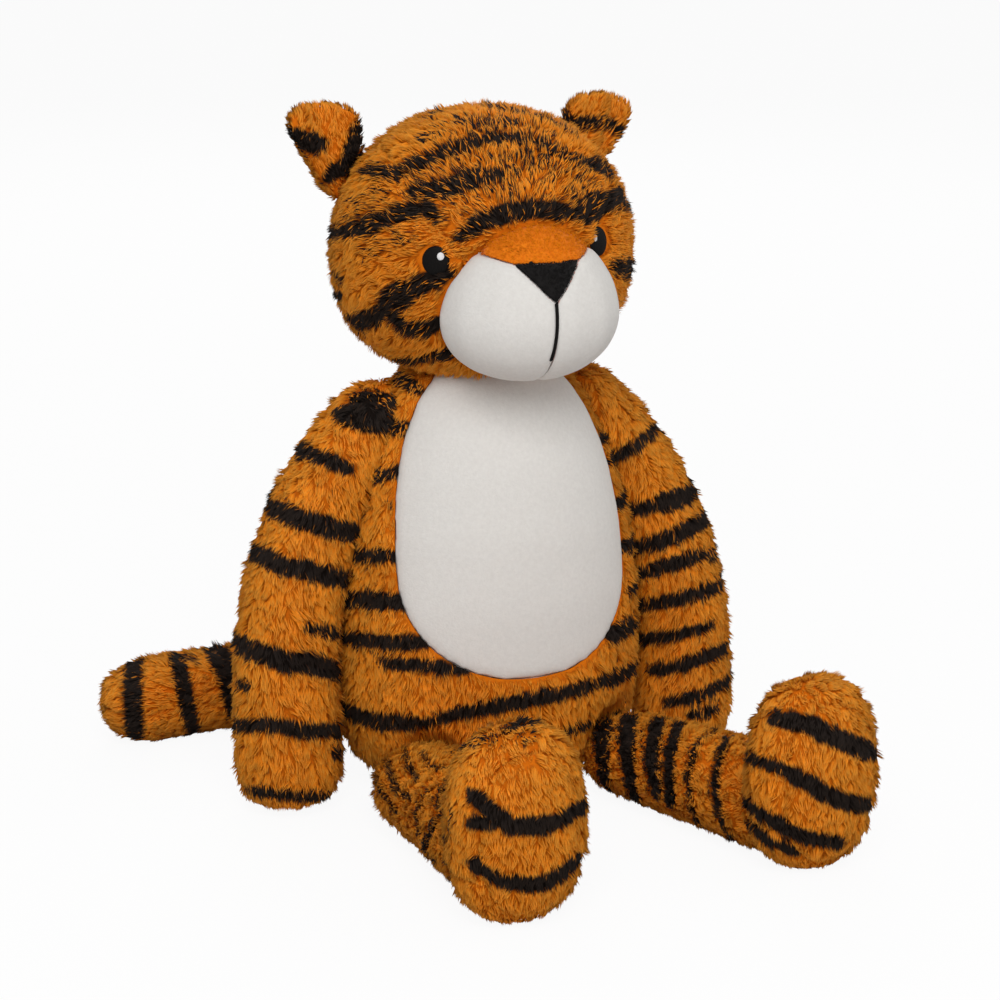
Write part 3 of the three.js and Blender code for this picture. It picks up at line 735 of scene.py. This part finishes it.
def makeFurGroup():
    # Colour of a hair, or of the cloth under it, from its distance in millimetres outside the nearest
    # stripe, its place from root to tip and its own tone. The darker root is painted shade deep in the pile
    # and the lighter tip is painted light.
    inputs = [(label, "NodeSocketFloat", value) for label, value in furInputs.items()]
    tree, given, out = newGroup("furColour", inputs, [("Colour", "NodeSocketColor")])
    ramp = node(tree, "ShaderNodeValToRGB")
    ramp.color_ramp.elements[0].color = furColours["root"]
    ramp.color_ramp.elements[1].color = furColours["tip"]
    middle = ramp.color_ramp.elements.new(furMix["middleAt"])
    middle.color = furColours["middle"]
    tree.links.new(given.outputs["Along"], ramp.inputs[0])
    dark = mixed(tree, given.outputs["Along"], furColours["black"], furColours["blackTip"])
    tone = node(tree, "ShaderNodeMapRange", in_3=furMix["darkest"], in_4=furMix["lightest"])
    tree.links.new(given.outputs["Tone"], tone.inputs[0])
    toned = mixed(tree, 1.0, ramp.outputs[0], tone.outputs[0], "MULTIPLY")
    inside = node(tree, "ShaderNodeMapRange", in_1=furMix["stripeFrom"], in_2=furMix["stripeFull"])
    inside.interpolation_type = "SMOOTHSTEP"
    tree.links.new(given.outputs["Outside"], inside.inputs[0])
    tree.links.new(mixed(tree, inside.outputs[0], toned, dark), out.inputs[0])
    return tree


def groupNode(tree, group, **values):
    made = node(tree, "ShaderNodeGroup")
    made.node_tree = group
    for key, value in values.items():
        if isinstance(value, bpy.types.NodeSocket):
            tree.links.new(value, made.inputs[key])
        else:
            made.inputs[key].default_value = value
    return made


def newMaterial(name, roughness, sheen=0.0, specular=0.3):
    material = bpy.data.materials.new(name)
    material.use_nodes = True
    shader = material.node_tree.nodes["Principled BSDF"]
    shader.inputs["Roughness"].default_value = roughness
    shader.inputs["Specular IOR Level"].default_value = specular
    shader.inputs["Sheen Weight"].default_value = sheen
    shader.inputs["Sheen Roughness"].default_value = 0.5
    return material, material.node_tree, shader


def attributeOf(tree, name):
    return node(tree, "ShaderNodeAttribute", attribute_type="GEOMETRY", attribute_name=name).outputs["Fac"]


def bumped(tree, shader, height, strength, distance):
    bump = node(tree, "ShaderNodeBump", in_Strength=strength, in_Distance=distance)
    tree.links.new(height, bump.inputs["Height"])
    tree.links.new(bump.outputs[0], shader.inputs["Normal"])


def makeMaterials():
    furGroup = makeFurGroup()
    made = {}

    material, tree, shader = newMaterial("furHair", 0.7, 0.0, 0.12)
    colour = groupNode(tree, furGroup, **{label: attributeOf(tree, label.lower()) for label in furInputs})
    tree.links.new(colour.outputs[0], shader.inputs["Base Color"])
    made["furHair"] = material

    material, tree, shader = newMaterial("furCloth", 0.9, 0.0, 0.05)
    place = node(tree, "ShaderNodeTexCoord").outputs["Object"]
    fine = noiseOf(tree, place, 700, 2)
    outside, tone = attributeOf(tree, "outside"), noiseOf(tree, place, 260, 3)
    # The cloth under the hair takes the dark root colour: painted shade deep in the pile.
    colour = groupNode(tree, furGroup, Outside=outside, Along=0.2, Tone=tone)
    tree.links.new(colour.outputs[0], shader.inputs["Base Color"])
    bumped(tree, shader, fine, 0.6, 0.6 * mm)
    made["furCloth"] = material

    pile = {
        "whitePlush": (srgb(212, 208, 203), srgb(230, 227, 222), 0.1),
        "bridgePlush": (srgb(210, 96, 2), srgb(250, 142, 16), 0.1),
        "nosePlush": (srgb(10, 9, 9), srgb(26, 23, 22), 0.05),
    }
    for name, (low, high, sheen) in pile.items():
        material, tree, shader = newMaterial(name, 0.8, sheen, 0.15)
        place = node(tree, "ShaderNodeTexCoord").outputs["Object"]
        mottled = noiseOf(tree, place, 420, 4, 0.6)
        pileColour = mixed(tree, mottled, low, high)
        if name == "whitePlush":
            edge = node(tree, "ShaderNodeMapRange", in_1=seamEdge / mm, in_2=0.0)
            tree.links.new(attributeOf(tree, "seam"), edge.inputs[0])
            pileColour = mixed(tree, edge.outputs[0], pileColour, srgb(186, 78, 30))
        tree.links.new(pileColour, shader.inputs["Base Color"])
        bumped(tree, shader, noiseOf(tree, place, 900, 3), 0.5, 0.5 * mm)
        made[name] = material
        if name == "whitePlush":
            continue
        # The short hairs run from the pile's darker colour at the root to its lighter one at the tip:
        # painted shade in the pile and painted light on the tips.
        material, tree, shader = newMaterial(name + "Hair", 0.8, 0.0, 0.1)
        tree.links.new(mixed(tree, attributeOf(tree, "along"), low, high), shader.inputs["Base Color"])
        made[name + "Hair"] = material

    thread = {
        "blackThread": (srgb(8, 7, 7), srgb(28, 26, 25)),
        "whiteThread": (srgb(214, 214, 216), srgb(250, 250, 250)),
    }
    for name, (low, high) in thread.items():
        material, tree, shader = newMaterial(name, 0.5, 0.0, 0.05)
        place = node(tree, "ShaderNodeTexCoord").outputs["Object"]
        stretched = node(tree, "ShaderNodeMapping")
        stretched.inputs["Scale"].default_value = (3000, 3000, 500)
        tree.links.new(place, stretched.inputs[0])
        lines = noiseOf(tree, stretched.outputs[0], 1.0, 2)
        tree.links.new(mixed(tree, lines, low, high), shader.inputs["Base Color"])
        bumped(tree, shader, lines, 0.5, 0.2 * mm)
        made[name] = material

    material, tree, shader = newMaterial("stuffingFibre", 0.9, 0.3, 0.1)
    place = node(tree, "ShaderNodeTexCoord").outputs["Object"]
    fibres = mixed(tree, noiseOf(tree, place, 240, 5, 0.7), srgb(222, 222, 218), srgb(250, 250, 248))
    tree.links.new(fibres, shader.inputs["Base Color"])
    bumped(tree, shader, noiseOf(tree, place, 500, 5, 0.7), 0.8, 1 * mm)
    made["stuffingFibre"] = material
    return made


# Covers

coverWall = 1.6 * mm
coverLook = {
    "belly_panel": ("whitePlush", "white_plush"),
    "muzzle_right_panel": ("whitePlush", "white_plush"),
    "muzzle_left_panel": ("whitePlush", "white_plush"),
    "nose_bridge": ("bridgePlush", "bridge_plush"),
    "nose_panel": ("nosePlush", "nose_plush"),
}


def camelName(node):
    first, *rest = node.split("_")
    return first + "".join(word.capitalize() for word in rest)


def coverPiece(node, spec, index):
    # The cover's own faces of the form, to be given the thickness of cloth
    bm = bmesh.new()
    bm.from_mesh(spec["piece"].data)
    seam = bm.verts.layers.float.new("seam")
    for vert, away in zip(bm.verts, spec["seamAway"]):
        vert[seam] = away / mm
    bm.faces.ensure_lookup_table()
    bmesh.ops.delete(bm, geom=[f for f in bm.faces if spec["faceCover"][f.index] != index], context="FACES")
    return linked(camelName(node), bm)


def addValues(data, name, values):
    attribute = data.attributes.new(name, "FLOAT", "POINT")
    attribute.data.foreach_set("value", np.ascontiguousarray(values, np.float32))


def shadedSmooth(data):
    data.polygons.foreach_set("use_smooth", np.ones(len(data.polygons), bool))


def makeCovers(materials):
    covers = {}
    for name, spec in forms.items():
        findStripes(name, spec)
        for index, node in enumerate(spec["covers"]):
            piece = coverPiece(node, spec, index)
            look, slot = coverLook.get(node, ("furCloth", "fur"))
            if look == "furCloth":
                outside, solid = stripeAt(spec["stripes"], pointsOf(piece.data))
                addValues(piece.data, "outside", np.where(solid > stripeEdge["onCloth"], outside / mm, 3))
            skin = piece.data.copy()
            covers[node] = {"piece": piece, "skin": skin, "form": name, "look": look, "slot": slot}
            solidify = piece.modifiers.new("cloth", "SOLIDIFY")
            solidify.thickness, solidify.offset = coverWall, -1
            solidify.use_quality_normals = True
            if look != "furCloth":
                finish = piece.modifiers.new("finish", "SUBSURF")
                finish.levels = finish.render_levels = 1
    applyAll([cover["piece"] for cover in covers.values()])
    for node, cover in covers.items():
        piece = cover["piece"]
        shadedSmooth(piece.data)
        piece.data.materials.append(materials[cover["look"]])
        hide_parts(node)
        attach(piece, forms[cover["form"]]["body"])
    print("covers", len(covers))
    return covers


# Fur: closed tapered hairs, rooted in the covers and combed along them. White plush is too short for any.

furHair = {
    "length": 7.6 * mm,
    "spread": 0.25,
    "radius": 0.21 * mm,
    "lean": 1.18,
    "perArea": 0.95,
    "clump": 4.2 * mm,
    "gather": 0.5,
    "wild": 0.24,
    "ragged": 1.0 * mm,
    "sparkle": 0.14,
}
torsoHair = {**furHair, "perArea": 0.78, "radius": 0.23 * mm}
headHair = {**furHair, "length": 6.8 * mm, "lean": 1.08, "wild": 0.3, "ragged": 1.2 * mm}
legHair = {**furHair, "length": 6.6 * mm, "lean": 1.12, "wild": 0.24, "ragged": 0.6 * mm}
earHair = {**furHair, "length": 6.4 * mm, "clump": 4 * mm, "lean": 0.95}
# The nose and its bridge
shortHair = {
    **furHair,
    "length": 2.2 * mm,
    "radius": 0.12 * mm,
    "lean": 1.1,
    "perArea": 1.4,
    "clump": 2.2 * mm,
    "gather": 0.3,
    "wild": 0.5,
}
# Hair is shorter beside a seam, where it meets the ground, and where an arm presses it flat. None grows
# where another form lies closer than touching, or lower than above.
trim = {
    "seam": 0.5,
    "seamReach": 5.0,
    "ground": 0.45,
    "groundReach": 20 * mm,
    "pressed": 0.3,
    "least": 0.7,
    "touching": 1.6 * mm,
    "near": 4 * mm,
    "above": 1.0 * mm,
    "lowest": 0.1 * mm,
}
# The hair at the nape, which shows when the head nods, is as short: below this height and behind this line
nape = {"below": 266 * mm, "behind": 10 * mm}
noseMiddle = Vector((-0.005, -0.112, 0.318))
combing = {"face": 40 * mm, "ankle": -200 * mm, "foot": 15 * mm, "tailBend": 100 * mm}


def combDirection(name, places):
    down = np.tile((0.0, 0.0, -1.0), (len(places), 1))
    if name == "head":
        fromNose = unit(places - np.array(noseMiddle))
        frontness = np.clip(-places[:, 1] / combing["face"], 0, 1)[:, None]
        return fromNose * (0.4 + frontness) + down * (0.9 - 0.5 * frontness)
    if name in ("rightLeg", "leftLeg"):
        onFoot = np.clip((combing["ankle"] - places[:, 1]) / combing["foot"], 0, 1)[:, None]
        forward = np.tile((0.0, -1.0, 0.15), (len(places), 1))
        return forward * (1 - onFoot) + (down * 0.9 + forward * 0.3) * onFoot
    if name == "tail":
        bend = 0.4 * np.clip(-places[:, 0] / combing["tailBend"] - 0.4, -1, 0)
        return unit(np.c_[-np.ones(len(places)), bend, np.full(len(places), -0.15)])
    if name in ("rightEar", "leftEar"):
        outward = -1 if name == "rightEar" else 1
        return np.tile((0.35 * outward, -0.1, 1.0), (len(places), 1))
    if name == "muzzle":
        return unit(places - np.array(noseMiddle)) + down * 0.4
    return down


def openGround(name, places, normals):
    # 1 where nothing lies on the cover, a share of that by an arm and at the nape, and 0 under other forms
    outside = places + normals * 1.0 * mm
    ground = np.ones(len(places))
    for other, spec in forms.items():
        if other == name:
            continue
        covered = np.full(len(places), trim["pressed"] if "Arm" in other + name else 0.0)
        if (name, other) == ("torso", "head"):
            covered[(places[:, 2] < nape["below"]) & (places[:, 1] > nape["behind"])] = trim["pressed"]
        low, high = np.array(spec["low"]) - trim["near"], np.array(spec["high"]) + trim["near"]
        for i in np.flatnonzero(((places > low) & (places < high)).all(1)):
            hit, normal, _, away = spec["tree"].find_nearest(Vector(outside[i]))
            if away < trim["touching"] or (Vector(outside[i]) - hit).dot(normal) < 0:
                ground[i] = min(ground[i], covered[i])
    return ground


def scattered(skin, formName, perArea, rng):
    # Random places on the skin where hair can grow, with smooth normals and the share of its length there
    skin.calc_loop_triangles()
    corners = np.empty(len(skin.loop_triangles) * 3, np.int32)
    skin.loop_triangles.foreach_get("vertices", corners)
    corners = corners.reshape(-1, 3)
    points, normals = pointsOf(skin), normalsOf(skin)
    ground = openGround(formName, points, normals)
    seams = np.empty(len(points), np.float32)
    skin.attributes["seam"].data.foreach_get("value", seams)
    a, b, c = points[corners[:, 0]], points[corners[:, 1]], points[corners[:, 2]]
    areas = np.linalg.norm(np.cross(b - a, c - a), axis=1) / 2
    count = int(areas.sum() / mm ** 2 * perArea)
    chosen = corners[rng.choice(len(areas), count, p=areas / areas.sum())]
    u, v = rng.random(count), rng.random(count)
    turned = u + v > 1
    u[turned], v[turned] = 1 - u[turned], 1 - v[turned]
    shares = np.stack((1 - u - v, u, v), 1)
    openShare = (ground[chosen] * shares).sum(1)
    keep = openShare > trim["pressed"] * trim["least"]
    chosen, shares, openShare = chosen[keep], shares[keep], openShare[keep]
    places = (points[chosen] * shares[:, :, None]).sum(1)
    seam = np.clip((seams[chosen] * shares).sum(1) / trim["seamReach"], 0, 1)
    above = np.clip(places[:, 2] / trim["groundReach"], 0, 1)
    length = trim["seam"] + (1 - trim["seam"]) * seam
    length = length * (trim["ground"] + (1 - trim["ground"]) * above) * openShare
    return places, unit((normals[chosen] * shares[:, :, None]).sum(1)), length


toneLevels = 6
bladeFaces = ((0, 1, 2), (1, 3, 2), (0, 3, 1), (0, 2, 3))
bladeShares = (0.0, 0.45, 0.45, 1.0)
# Where a hair bends and how far each part of it leans, and how much a clump and each of its hairs stray
blade = {"bend": 0.45, "tip": 0.55, "bendLean": 0.65, "tipLean": 1.2, "bendGather": 0.3, "rooted": 0.4 * mm}
stray = {"wide": 0.25, "wideSize": 26 * mm, "own": 0.5, "lean": 0.22, "ownLean": 0.15, "leans": (0.15, 1.4)}
# Hair made short beside a seam, near the ground and under an arm is painted darker: painted shade.
toneParts = {"clump": 0.35, "own": 0.35, "wide": 0.3, "wideSize": 24 * mm, "paintedShadeWhereShort": 0.5}


def hairCurves(roots, normals, comb, trimming, style, rng):
    # Root, bend and tip of each hair, its direction and tone. The hairs of a clump gather towards one tip.
    count = len(roots)
    length = style["length"] * trimming * (1 + style["spread"] * rng.uniform(-1, 1, count))
    clumps = max(1, min(count, int(count / style["perArea"] / (style["clump"] / mm) ** 2)))
    centres = rng.choice(count, clumps, replace=False)
    near = KDTree(clumps)
    for k, i in enumerate(centres):
        near.insert(roots[i], k)
    near.balance()
    clump = np.array([near.find(place)[1] for place in roots.tolist()])
    wild = style["wild"]
    turn = (rng.normal(size=clumps) * wild)[clump]
    turn += smoothNoise(roots, stray["wideSize"], 11) * stray["wide"]
    turn += rng.normal(size=count) * wild * stray["own"]
    lean = (style["lean"] * (1 + rng.normal(size=clumps) * stray["lean"]))[clump]
    lean = np.clip(lean + rng.normal(size=count) * stray["ownLean"], *stray["leans"])
    side = np.cross(normals, comb)
    along = comb * np.cos(turn)[:, None] + side * np.sin(turn)[:, None]

    def leant(share):
        return normals * np.cos(lean * share)[:, None] + along * np.sin(lean * share)[:, None]

    bend = roots + leant(blade["bendLean"]) * (length * blade["bend"])[:, None]
    tip = bend + leant(blade["tipLean"]) * (length * blade["tip"])[:, None]
    towards = (tip[centres][clump] - tip) * (style["gather"] * rng.uniform(0.4, 1.0, count))[:, None]
    tip, bend = tip + towards, bend + towards * blade["bendGather"]
    wide = 0.5 + 0.5 * np.clip(smoothNoise(roots, toneParts["wideSize"], 17), -1, 1)
    tone = rng.random(clumps)[clump] * toneParts["clump"] + rng.random(count) * toneParts["own"]
    # Painted shade: the shorter the hair beside seams, near the ground and under an arm, the darker its
    # tone.
    tone += wide * toneParts["wide"] - toneParts["paintedShadeWhereShort"] * (1 - trimming)
    return roots - normals * blade["rooted"], bend, tip, along, tone


# The bake's own map: across it the distance to a stripe, up it the tone and the place along the hair
bakeMap = {"across": 0.45, "blade": 0.02, "margin": 0.04}


def hairMesh(name, places, normals, comb, trimming, style, rng, stripes):
    # Each hair is a closed blade of four faces: its root, its tip and the two sides of its bend
    root, bend, tip, along, tone = hairCurves(places, normals, comb, trimming, style, rng)
    count = len(places)
    across = unit(np.cross(normals, along)) * (style["radius"] * rng.uniform(0.75, 1.25, count))[:, None]
    sign = np.where((np.cross(bend - across - root, bend + across - root) * (tip - root)).sum(1) > 0, -1, 1)
    across *= sign[:, None]
    verts = np.stack((root, bend - across, bend + across, tip), 1)
    verts[:, :, 2] = np.maximum(verts[:, :, 2], trim["lowest"])
    corners = (np.arange(count)[:, None, None] * 4 + np.array(bladeFaces)[None]).reshape(-1)
    data = bpy.data.meshes.new(name)
    data.vertices.add(count * 4)
    data.vertices.foreach_set("co", verts.astype(np.float32).ravel())
    data.loops.add(len(corners))
    data.loops.foreach_set("vertex_index", corners.astype(np.int32))
    data.polygons.add(len(corners) // 3)
    data.polygons.foreach_set("loop_start", np.arange(0, len(corners), 3, dtype=np.int32))
    data.update(calc_edges=True)
    shadedSmooth(data)
    # Hairs shade as the surface that they lie on, each turned a little its own way
    shading = unit(normals + rng.normal(size=(count, 3)) * style["sparkle"])
    data.normals_split_custom_set_from_vertices(np.repeat(shading, 4, axis=0).astype(np.float32))

    share = np.array(bladeShares)
    tone = np.floor(tone * toneLevels).clip(0, toneLevels - 1)
    addValues(data, "along", np.tile(share, count))
    addValues(data, "tone", np.repeat(tone / (toneLevels - 1), 4))
    reach = stripeEdge["reach"] / mm
    outside = np.full((count, 4), reach)
    if stripes:
        outside = stripesAlong(stripes, (root, bend, tip), places, normals, style, rng)
        addValues(data, "outside", outside.ravel())

    u = 0.5 + outside / reach * bakeMap["across"] + np.array((0, -1, 1, 0)) * bakeMap["blade"]
    v = (tone[:, None] + bakeMap["margin"] + (1 - 2 * bakeMap["margin"]) * share) / toneLevels
    uv = np.stack((u.ravel()[corners], v.ravel()[corners]), 1)
    layer = data.uv_layers.new(name="OFBake")
    layer.data.foreach_set("uv", uv.astype(np.float32).ravel())
    piece = bpy.data.objects.new(name, data)
    scene.collection.objects.link(piece)
    return piece


def stripesAlong(spec, line, places, normals, style, rng):
    # Distance in millimetres outside the stripes at each hair's four corners, taken on the surface below
    values = []
    for points in line:
        lift = ((points - places) * normals).sum(1)[:, None] * normals
        away, solid = stripeAt(spec["stripes"], points - lift)
        values.append(away)
    away = np.stack(values, 1) + (rng.normal(size=len(places)) * style["ragged"])[:, None]
    away[rng.random(len(places)) > solid] = stripeEdge["reach"]
    patch, share = stripeAt(spec["patches"], places)
    away[(patch < 0) & (rng.random(len(places)) < share)] = -stripeEdge["reach"]
    away = np.clip(away, -stripeEdge["reach"], stripeEdge["reach"]) / mm
    return away[:, [0, 1, 1, 2]]


def awayFromEyes(places):
    # Hair stays off the stitched eyes
    keep = np.ones(len(places), bool)
    for side in ("right", "left"):
        low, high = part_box(f"{side}_eye")
        centre, half = (low + high) / 2 + Vector(eye["nudge"][side]), (high - low) / 2
        apart = ((places[:, 0] - centre.x) / half.x) ** 2 + ((places[:, 2] - centre.z) / half.z) ** 2
        keep &= (apart > 1) | (places[:, 1] > eye["behind"])
    return keep


def hairStyle(cover):
    if cover["look"] != "furCloth":
        return shortHair
    if "Ear" in cover["form"]:
        return earHair
    if "Leg" in cover["form"]:
        return legHair
    return {"head": headHair, "torso": torsoHair}.get(cover["form"], furHair)


def makeHair(covers, materials):
    total = 0
    for number, (node, cover) in enumerate(covers.items()):
        formName, furry = cover["form"], cover["look"] == "furCloth"
        if cover["look"] == "whitePlush":
            continue
        spec, style = forms[formName], hairStyle(cover)
        rng = np.random.default_rng(randomSeed + number)
        places, normals, length = scattered(cover["skin"], formName, style["perArea"], rng)
        keep = places[:, 2] > trim["above"]
        if formName == "head":
            keep &= awayFromEyes(places)
        places, normals, length = places[keep], normals[keep], length[keep]
        comb = flattened(combDirection(formName, places), normals)
        name, stripes = camelName(node) + "Hair", spec if furry else None
        piece = hairMesh(name, places, normals, comb, length, style, rng, stripes)
        piece.data.materials.append(materials["furHair" if furry else cover["look"] + "Hair"])
        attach(piece, spec["body"])
        total += len(places)
    print("hairs", total)


# Stuffing: fibre in the shape of the covers' inside

fibre = {"voxel": 4.5 * mm, "smoothing": 4, "lumpSize": 22 * mm, "lumpHeight": 0.4 * mm, "inset": 0.5 * mm}


def makeStuffing(materials):
    pieces = {}
    for name, spec in forms.items():
        if spec["stuffing"]:
            node = spec["stuffing"]
            pieces[name] = remeshed(camelName(node), [node], fibre["voxel"], fibre["smoothing"])
    applyAll(list(pieces.values()))
    for name, piece in pieces.items():
        spec = forms[name]
        fitForm(name, piece)
        places = pointsOf(piece.data)
        lumps = smoothNoise(places, fibre["lumpSize"], 5) * fibre["lumpHeight"] - fibre["inset"]
        setPoints(piece.data, places + normalsOf(piece.data) * lumps[:, None])
        shadedSmooth(piece.data)
        piece.data.materials.append(materials["stuffingFibre"])
        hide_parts(spec["stuffing"])
        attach(piece, spec["body"])
    print("stuffing")


# Stitched eyes and mouth

# The eyes and their glints lie a little off the solids' places. Hair further back than behind isn't cleared.
eye = {
    "behind": -20 * mm,
    "height": 1.5 * mm,
    "glintHeight": {"right": 2.1 * mm, "left": 3.2 * mm},
    "rowPitch": 0.85 * mm,
    "ridge": 0.14 * mm,
    "size": 0.88,
    "glintTall": 1.3,
    "tilt": -6,
    "nudge": {"right": (0, 0, -1 * mm), "left": (-5 * mm, 0, 4.3 * mm)},
    "glintNudge": {"right": (0, 0, -1 * mm), "left": (-5.7 * mm, 0, 3.6 * mm)},
}


def fromFront(form, x, z):
    # Where the form is met from the front, and its normal there
    hit, normal, _, _ = forms[form]["tree"].ray_cast(Vector((x, -300 * mm, z)), Vector((0, 1, 0)))
    return hit, normal


def stitchedOval(name, node, nudge, height, stretch=1.0):
    # A low dome of satin stitch on the head's surface, near where the CAD has it
    low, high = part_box(node)
    centre = (low + high) / 2 + Vector(nudge)
    hit, normal = fromFront("head", centre.x, centre.z)
    half = (high - low) / 2
    bm = bmesh.new()
    bmesh.ops.create_uvsphere(bm, u_segments=72, v_segments=36, radius=1)
    upright = Vector((0, 0, 1))
    across = upright.cross(normal).normalized()
    raised = normal.cross(across)
    width = half.x / max(0.3, abs(across.x)) * eye["size"]
    tall = half.z / max(0.3, abs(raised.z)) * eye["size"] * stretch
    turned = Matrix((across, raised, normal)).transposed().to_4x4()
    for vert in bm.verts:
        ridge = abs(math.sin(math.pi * vert.co.x * width / eye["rowPitch"])) * eye["ridge"]
        vert.co = Vector((vert.co.x * width, vert.co.y * tall, vert.co.z * (height + ridge)))
    bmesh.ops.rotate(bm, verts=bm.verts, matrix=Matrix.Rotation(math.radians(eye["tilt"]), 3, "Z"))
    bmesh.ops.transform(bm, verts=bm.verts, matrix=turned)
    bmesh.ops.translate(bm, verts=bm.verts, vec=hit)
    piece = linked(name, bm)
    shadedSmooth(piece.data)
    return piece


def makeEyes(materials):
    for side in ("right", "left"):
        oval = stitchedOval(f"{side}Eye", f"{side}_eye", eye["nudge"][side], eye["height"])
        oval.data.materials.append(materials["blackThread"])
        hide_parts(f"{side}_eye")
        nudge, height = eye["glintNudge"][side], eye["glintHeight"][side]
        glint = stitchedOval(f"{side}EyeGlint", f"{side}_eye_glint", nudge, height, eye["glintTall"])
        glint.data.materials.append(materials["whiteThread"])
        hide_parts(f"{side}_eye_glint")
        for piece in (oval, glint):
            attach(piece, "head")
    print("eyes")


mouth = {
    "stitches": 46,
    "halfLength": 1.55 * mm,
    "radius": 0.5 * mm,
    "thick": 1.6,
    "slant": 35,
    "drift": -1.6 * mm,
    "lift": 4 * mm,
    "proud": 0.5 * mm,
}


def makeMouth(materials):
    low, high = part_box("mouth_stitch")
    middle = (low + high) / 2
    bm = bmesh.new()
    for i in range(mouth["stitches"]):
        t = i / (mouth["stitches"] - 1)
        z = high.z + (low.z + mouth["lift"] - high.z) * t
        x = middle.x * muzzleFit["squeeze"] + muzzleFit["shift"] + mouth["drift"] * t ** 2
        hit, normal = fromFront("muzzle", x, z)
        if hit is None:
            continue
        made = bmesh.ops.create_uvsphere(bm, u_segments=10, v_segments=8, radius=1)
        across = Vector((1, 0, 0))
        up = normal.cross(across).normalized()
        across = up.cross(normal)
        slant = math.radians(mouth["slant"])
        lengthwise = across * math.cos(slant) + up * math.sin(slant)
        sideways = normal.cross(lengthwise)
        proud = normal * mouth["radius"] * mouth["thick"]
        turned = Matrix((lengthwise * mouth["halfLength"], sideways * mouth["radius"], proud))
        bmesh.ops.transform(bm, verts=made["verts"], matrix=turned.transposed().to_4x4())
        bmesh.ops.translate(bm, verts=made["verts"], vec=hit + normal * mouth["proud"])
    piece = linked("mouthStitch", bm)
    shadedSmooth(piece.data)
    piece.data.materials.append(materials["blackThread"])
    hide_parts("mouth_stitch")
    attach(piece, "head")
    print("mouth")


# Studio

studio = {
    "world": 0.42,
    "lights": {
        "keyLight": {"power": 38.0, "place": (-0.8, -1.9, 1.8), "size": 1.4},
        "backLight": {"power": 14.0, "place": (0.9, 2.2, 1.6), "size": 1.4},
        "fillLight": {"power": 3.5, "place": (1.8, -1.0, 1.1), "size": 1.2},
    },
    "aimHeight": 0.2,
    "floorPaint": (0.7, 0.7, 0.7, 1),
    "floorHalf": 40,
    "floorBelow": 0.2 * mm,
    "floorWhite": 0.9,
    "floorGlow": 1.03,
}


def makeStudio():
    world = bpy.data.worlds.new("studio")
    scene.world = world
    world.use_nodes = True
    tree = world.node_tree
    background = tree.nodes["Background"]
    paths = node(tree, "ShaderNodeLightPath")
    seen = node(tree, "ShaderNodeMath", operation="MAXIMUM")
    tree.links.new(paths.outputs["Is Camera Ray"], seen.inputs[0])
    tree.links.new(paths.outputs["Is Glossy Ray"], seen.inputs[1])
    strength = node(tree, "ShaderNodeMapRange", in_3=studio["world"], in_4=1.0)
    tree.links.new(seen.outputs[0], strength.inputs[0])
    background.inputs["Color"].default_value = (1, 1, 1, 1)
    tree.links.new(strength.outputs[0], background.inputs["Strength"])

    bm = bmesh.new()
    bmesh.ops.create_grid(bm, x_segments=1, y_segments=1, size=studio["floorHalf"])
    floor = linked("floor", bm)
    floor.location.z = -studio["floorBelow"]
    material, tree, shader = newMaterial("floorPaint", 0.9, specular=0.0)
    shader.inputs["Base Color"].default_value = studio["floorPaint"]
    glow = node(tree, "ShaderNodeEmission", in_Strength=studio["floorGlow"])
    paths = node(tree, "ShaderNodeLightPath")
    share = node(tree, "ShaderNodeMath", operation="MULTIPLY", in_1=studio["floorWhite"])
    tree.links.new(paths.outputs["Is Camera Ray"], share.inputs[0])
    both = node(tree, "ShaderNodeMixShader")
    tree.links.new(share.outputs[0], both.inputs[0])
    tree.links.new(shader.outputs[0], both.inputs[1])
    tree.links.new(glow.outputs[0], both.inputs[2])
    tree.links.new(both.outputs[0], tree.nodes["Material Output"].inputs["Surface"])
    floor.data.materials.append(material)

    for name, lamp in studio["lights"].items():
        light = bpy.data.lights.new(name, "AREA")
        light.energy, light.size = lamp["power"], lamp["size"]
        stand = bpy.data.objects.new(name, light)
        scene.collection.objects.link(stand)
        stand.location = lamp["place"]
        aim = Vector((0, 0, studio["aimHeight"])) - Vector(lamp["place"])
        stand.rotation_euler = aim.to_track_quat("-Z", "Y").to_euler()
    scene.view_settings.view_transform = "Standard"


makeCamera()
makeForms()
materials = makeMaterials()
covers = makeCovers(materials)
makeHair(covers, materials)
makeStuffing(materials)
makeEyes(materials)
makeMouth(materials)
makeStudio()
for spec in forms.values():
    bpy.data.objects.remove(spec["piece"])
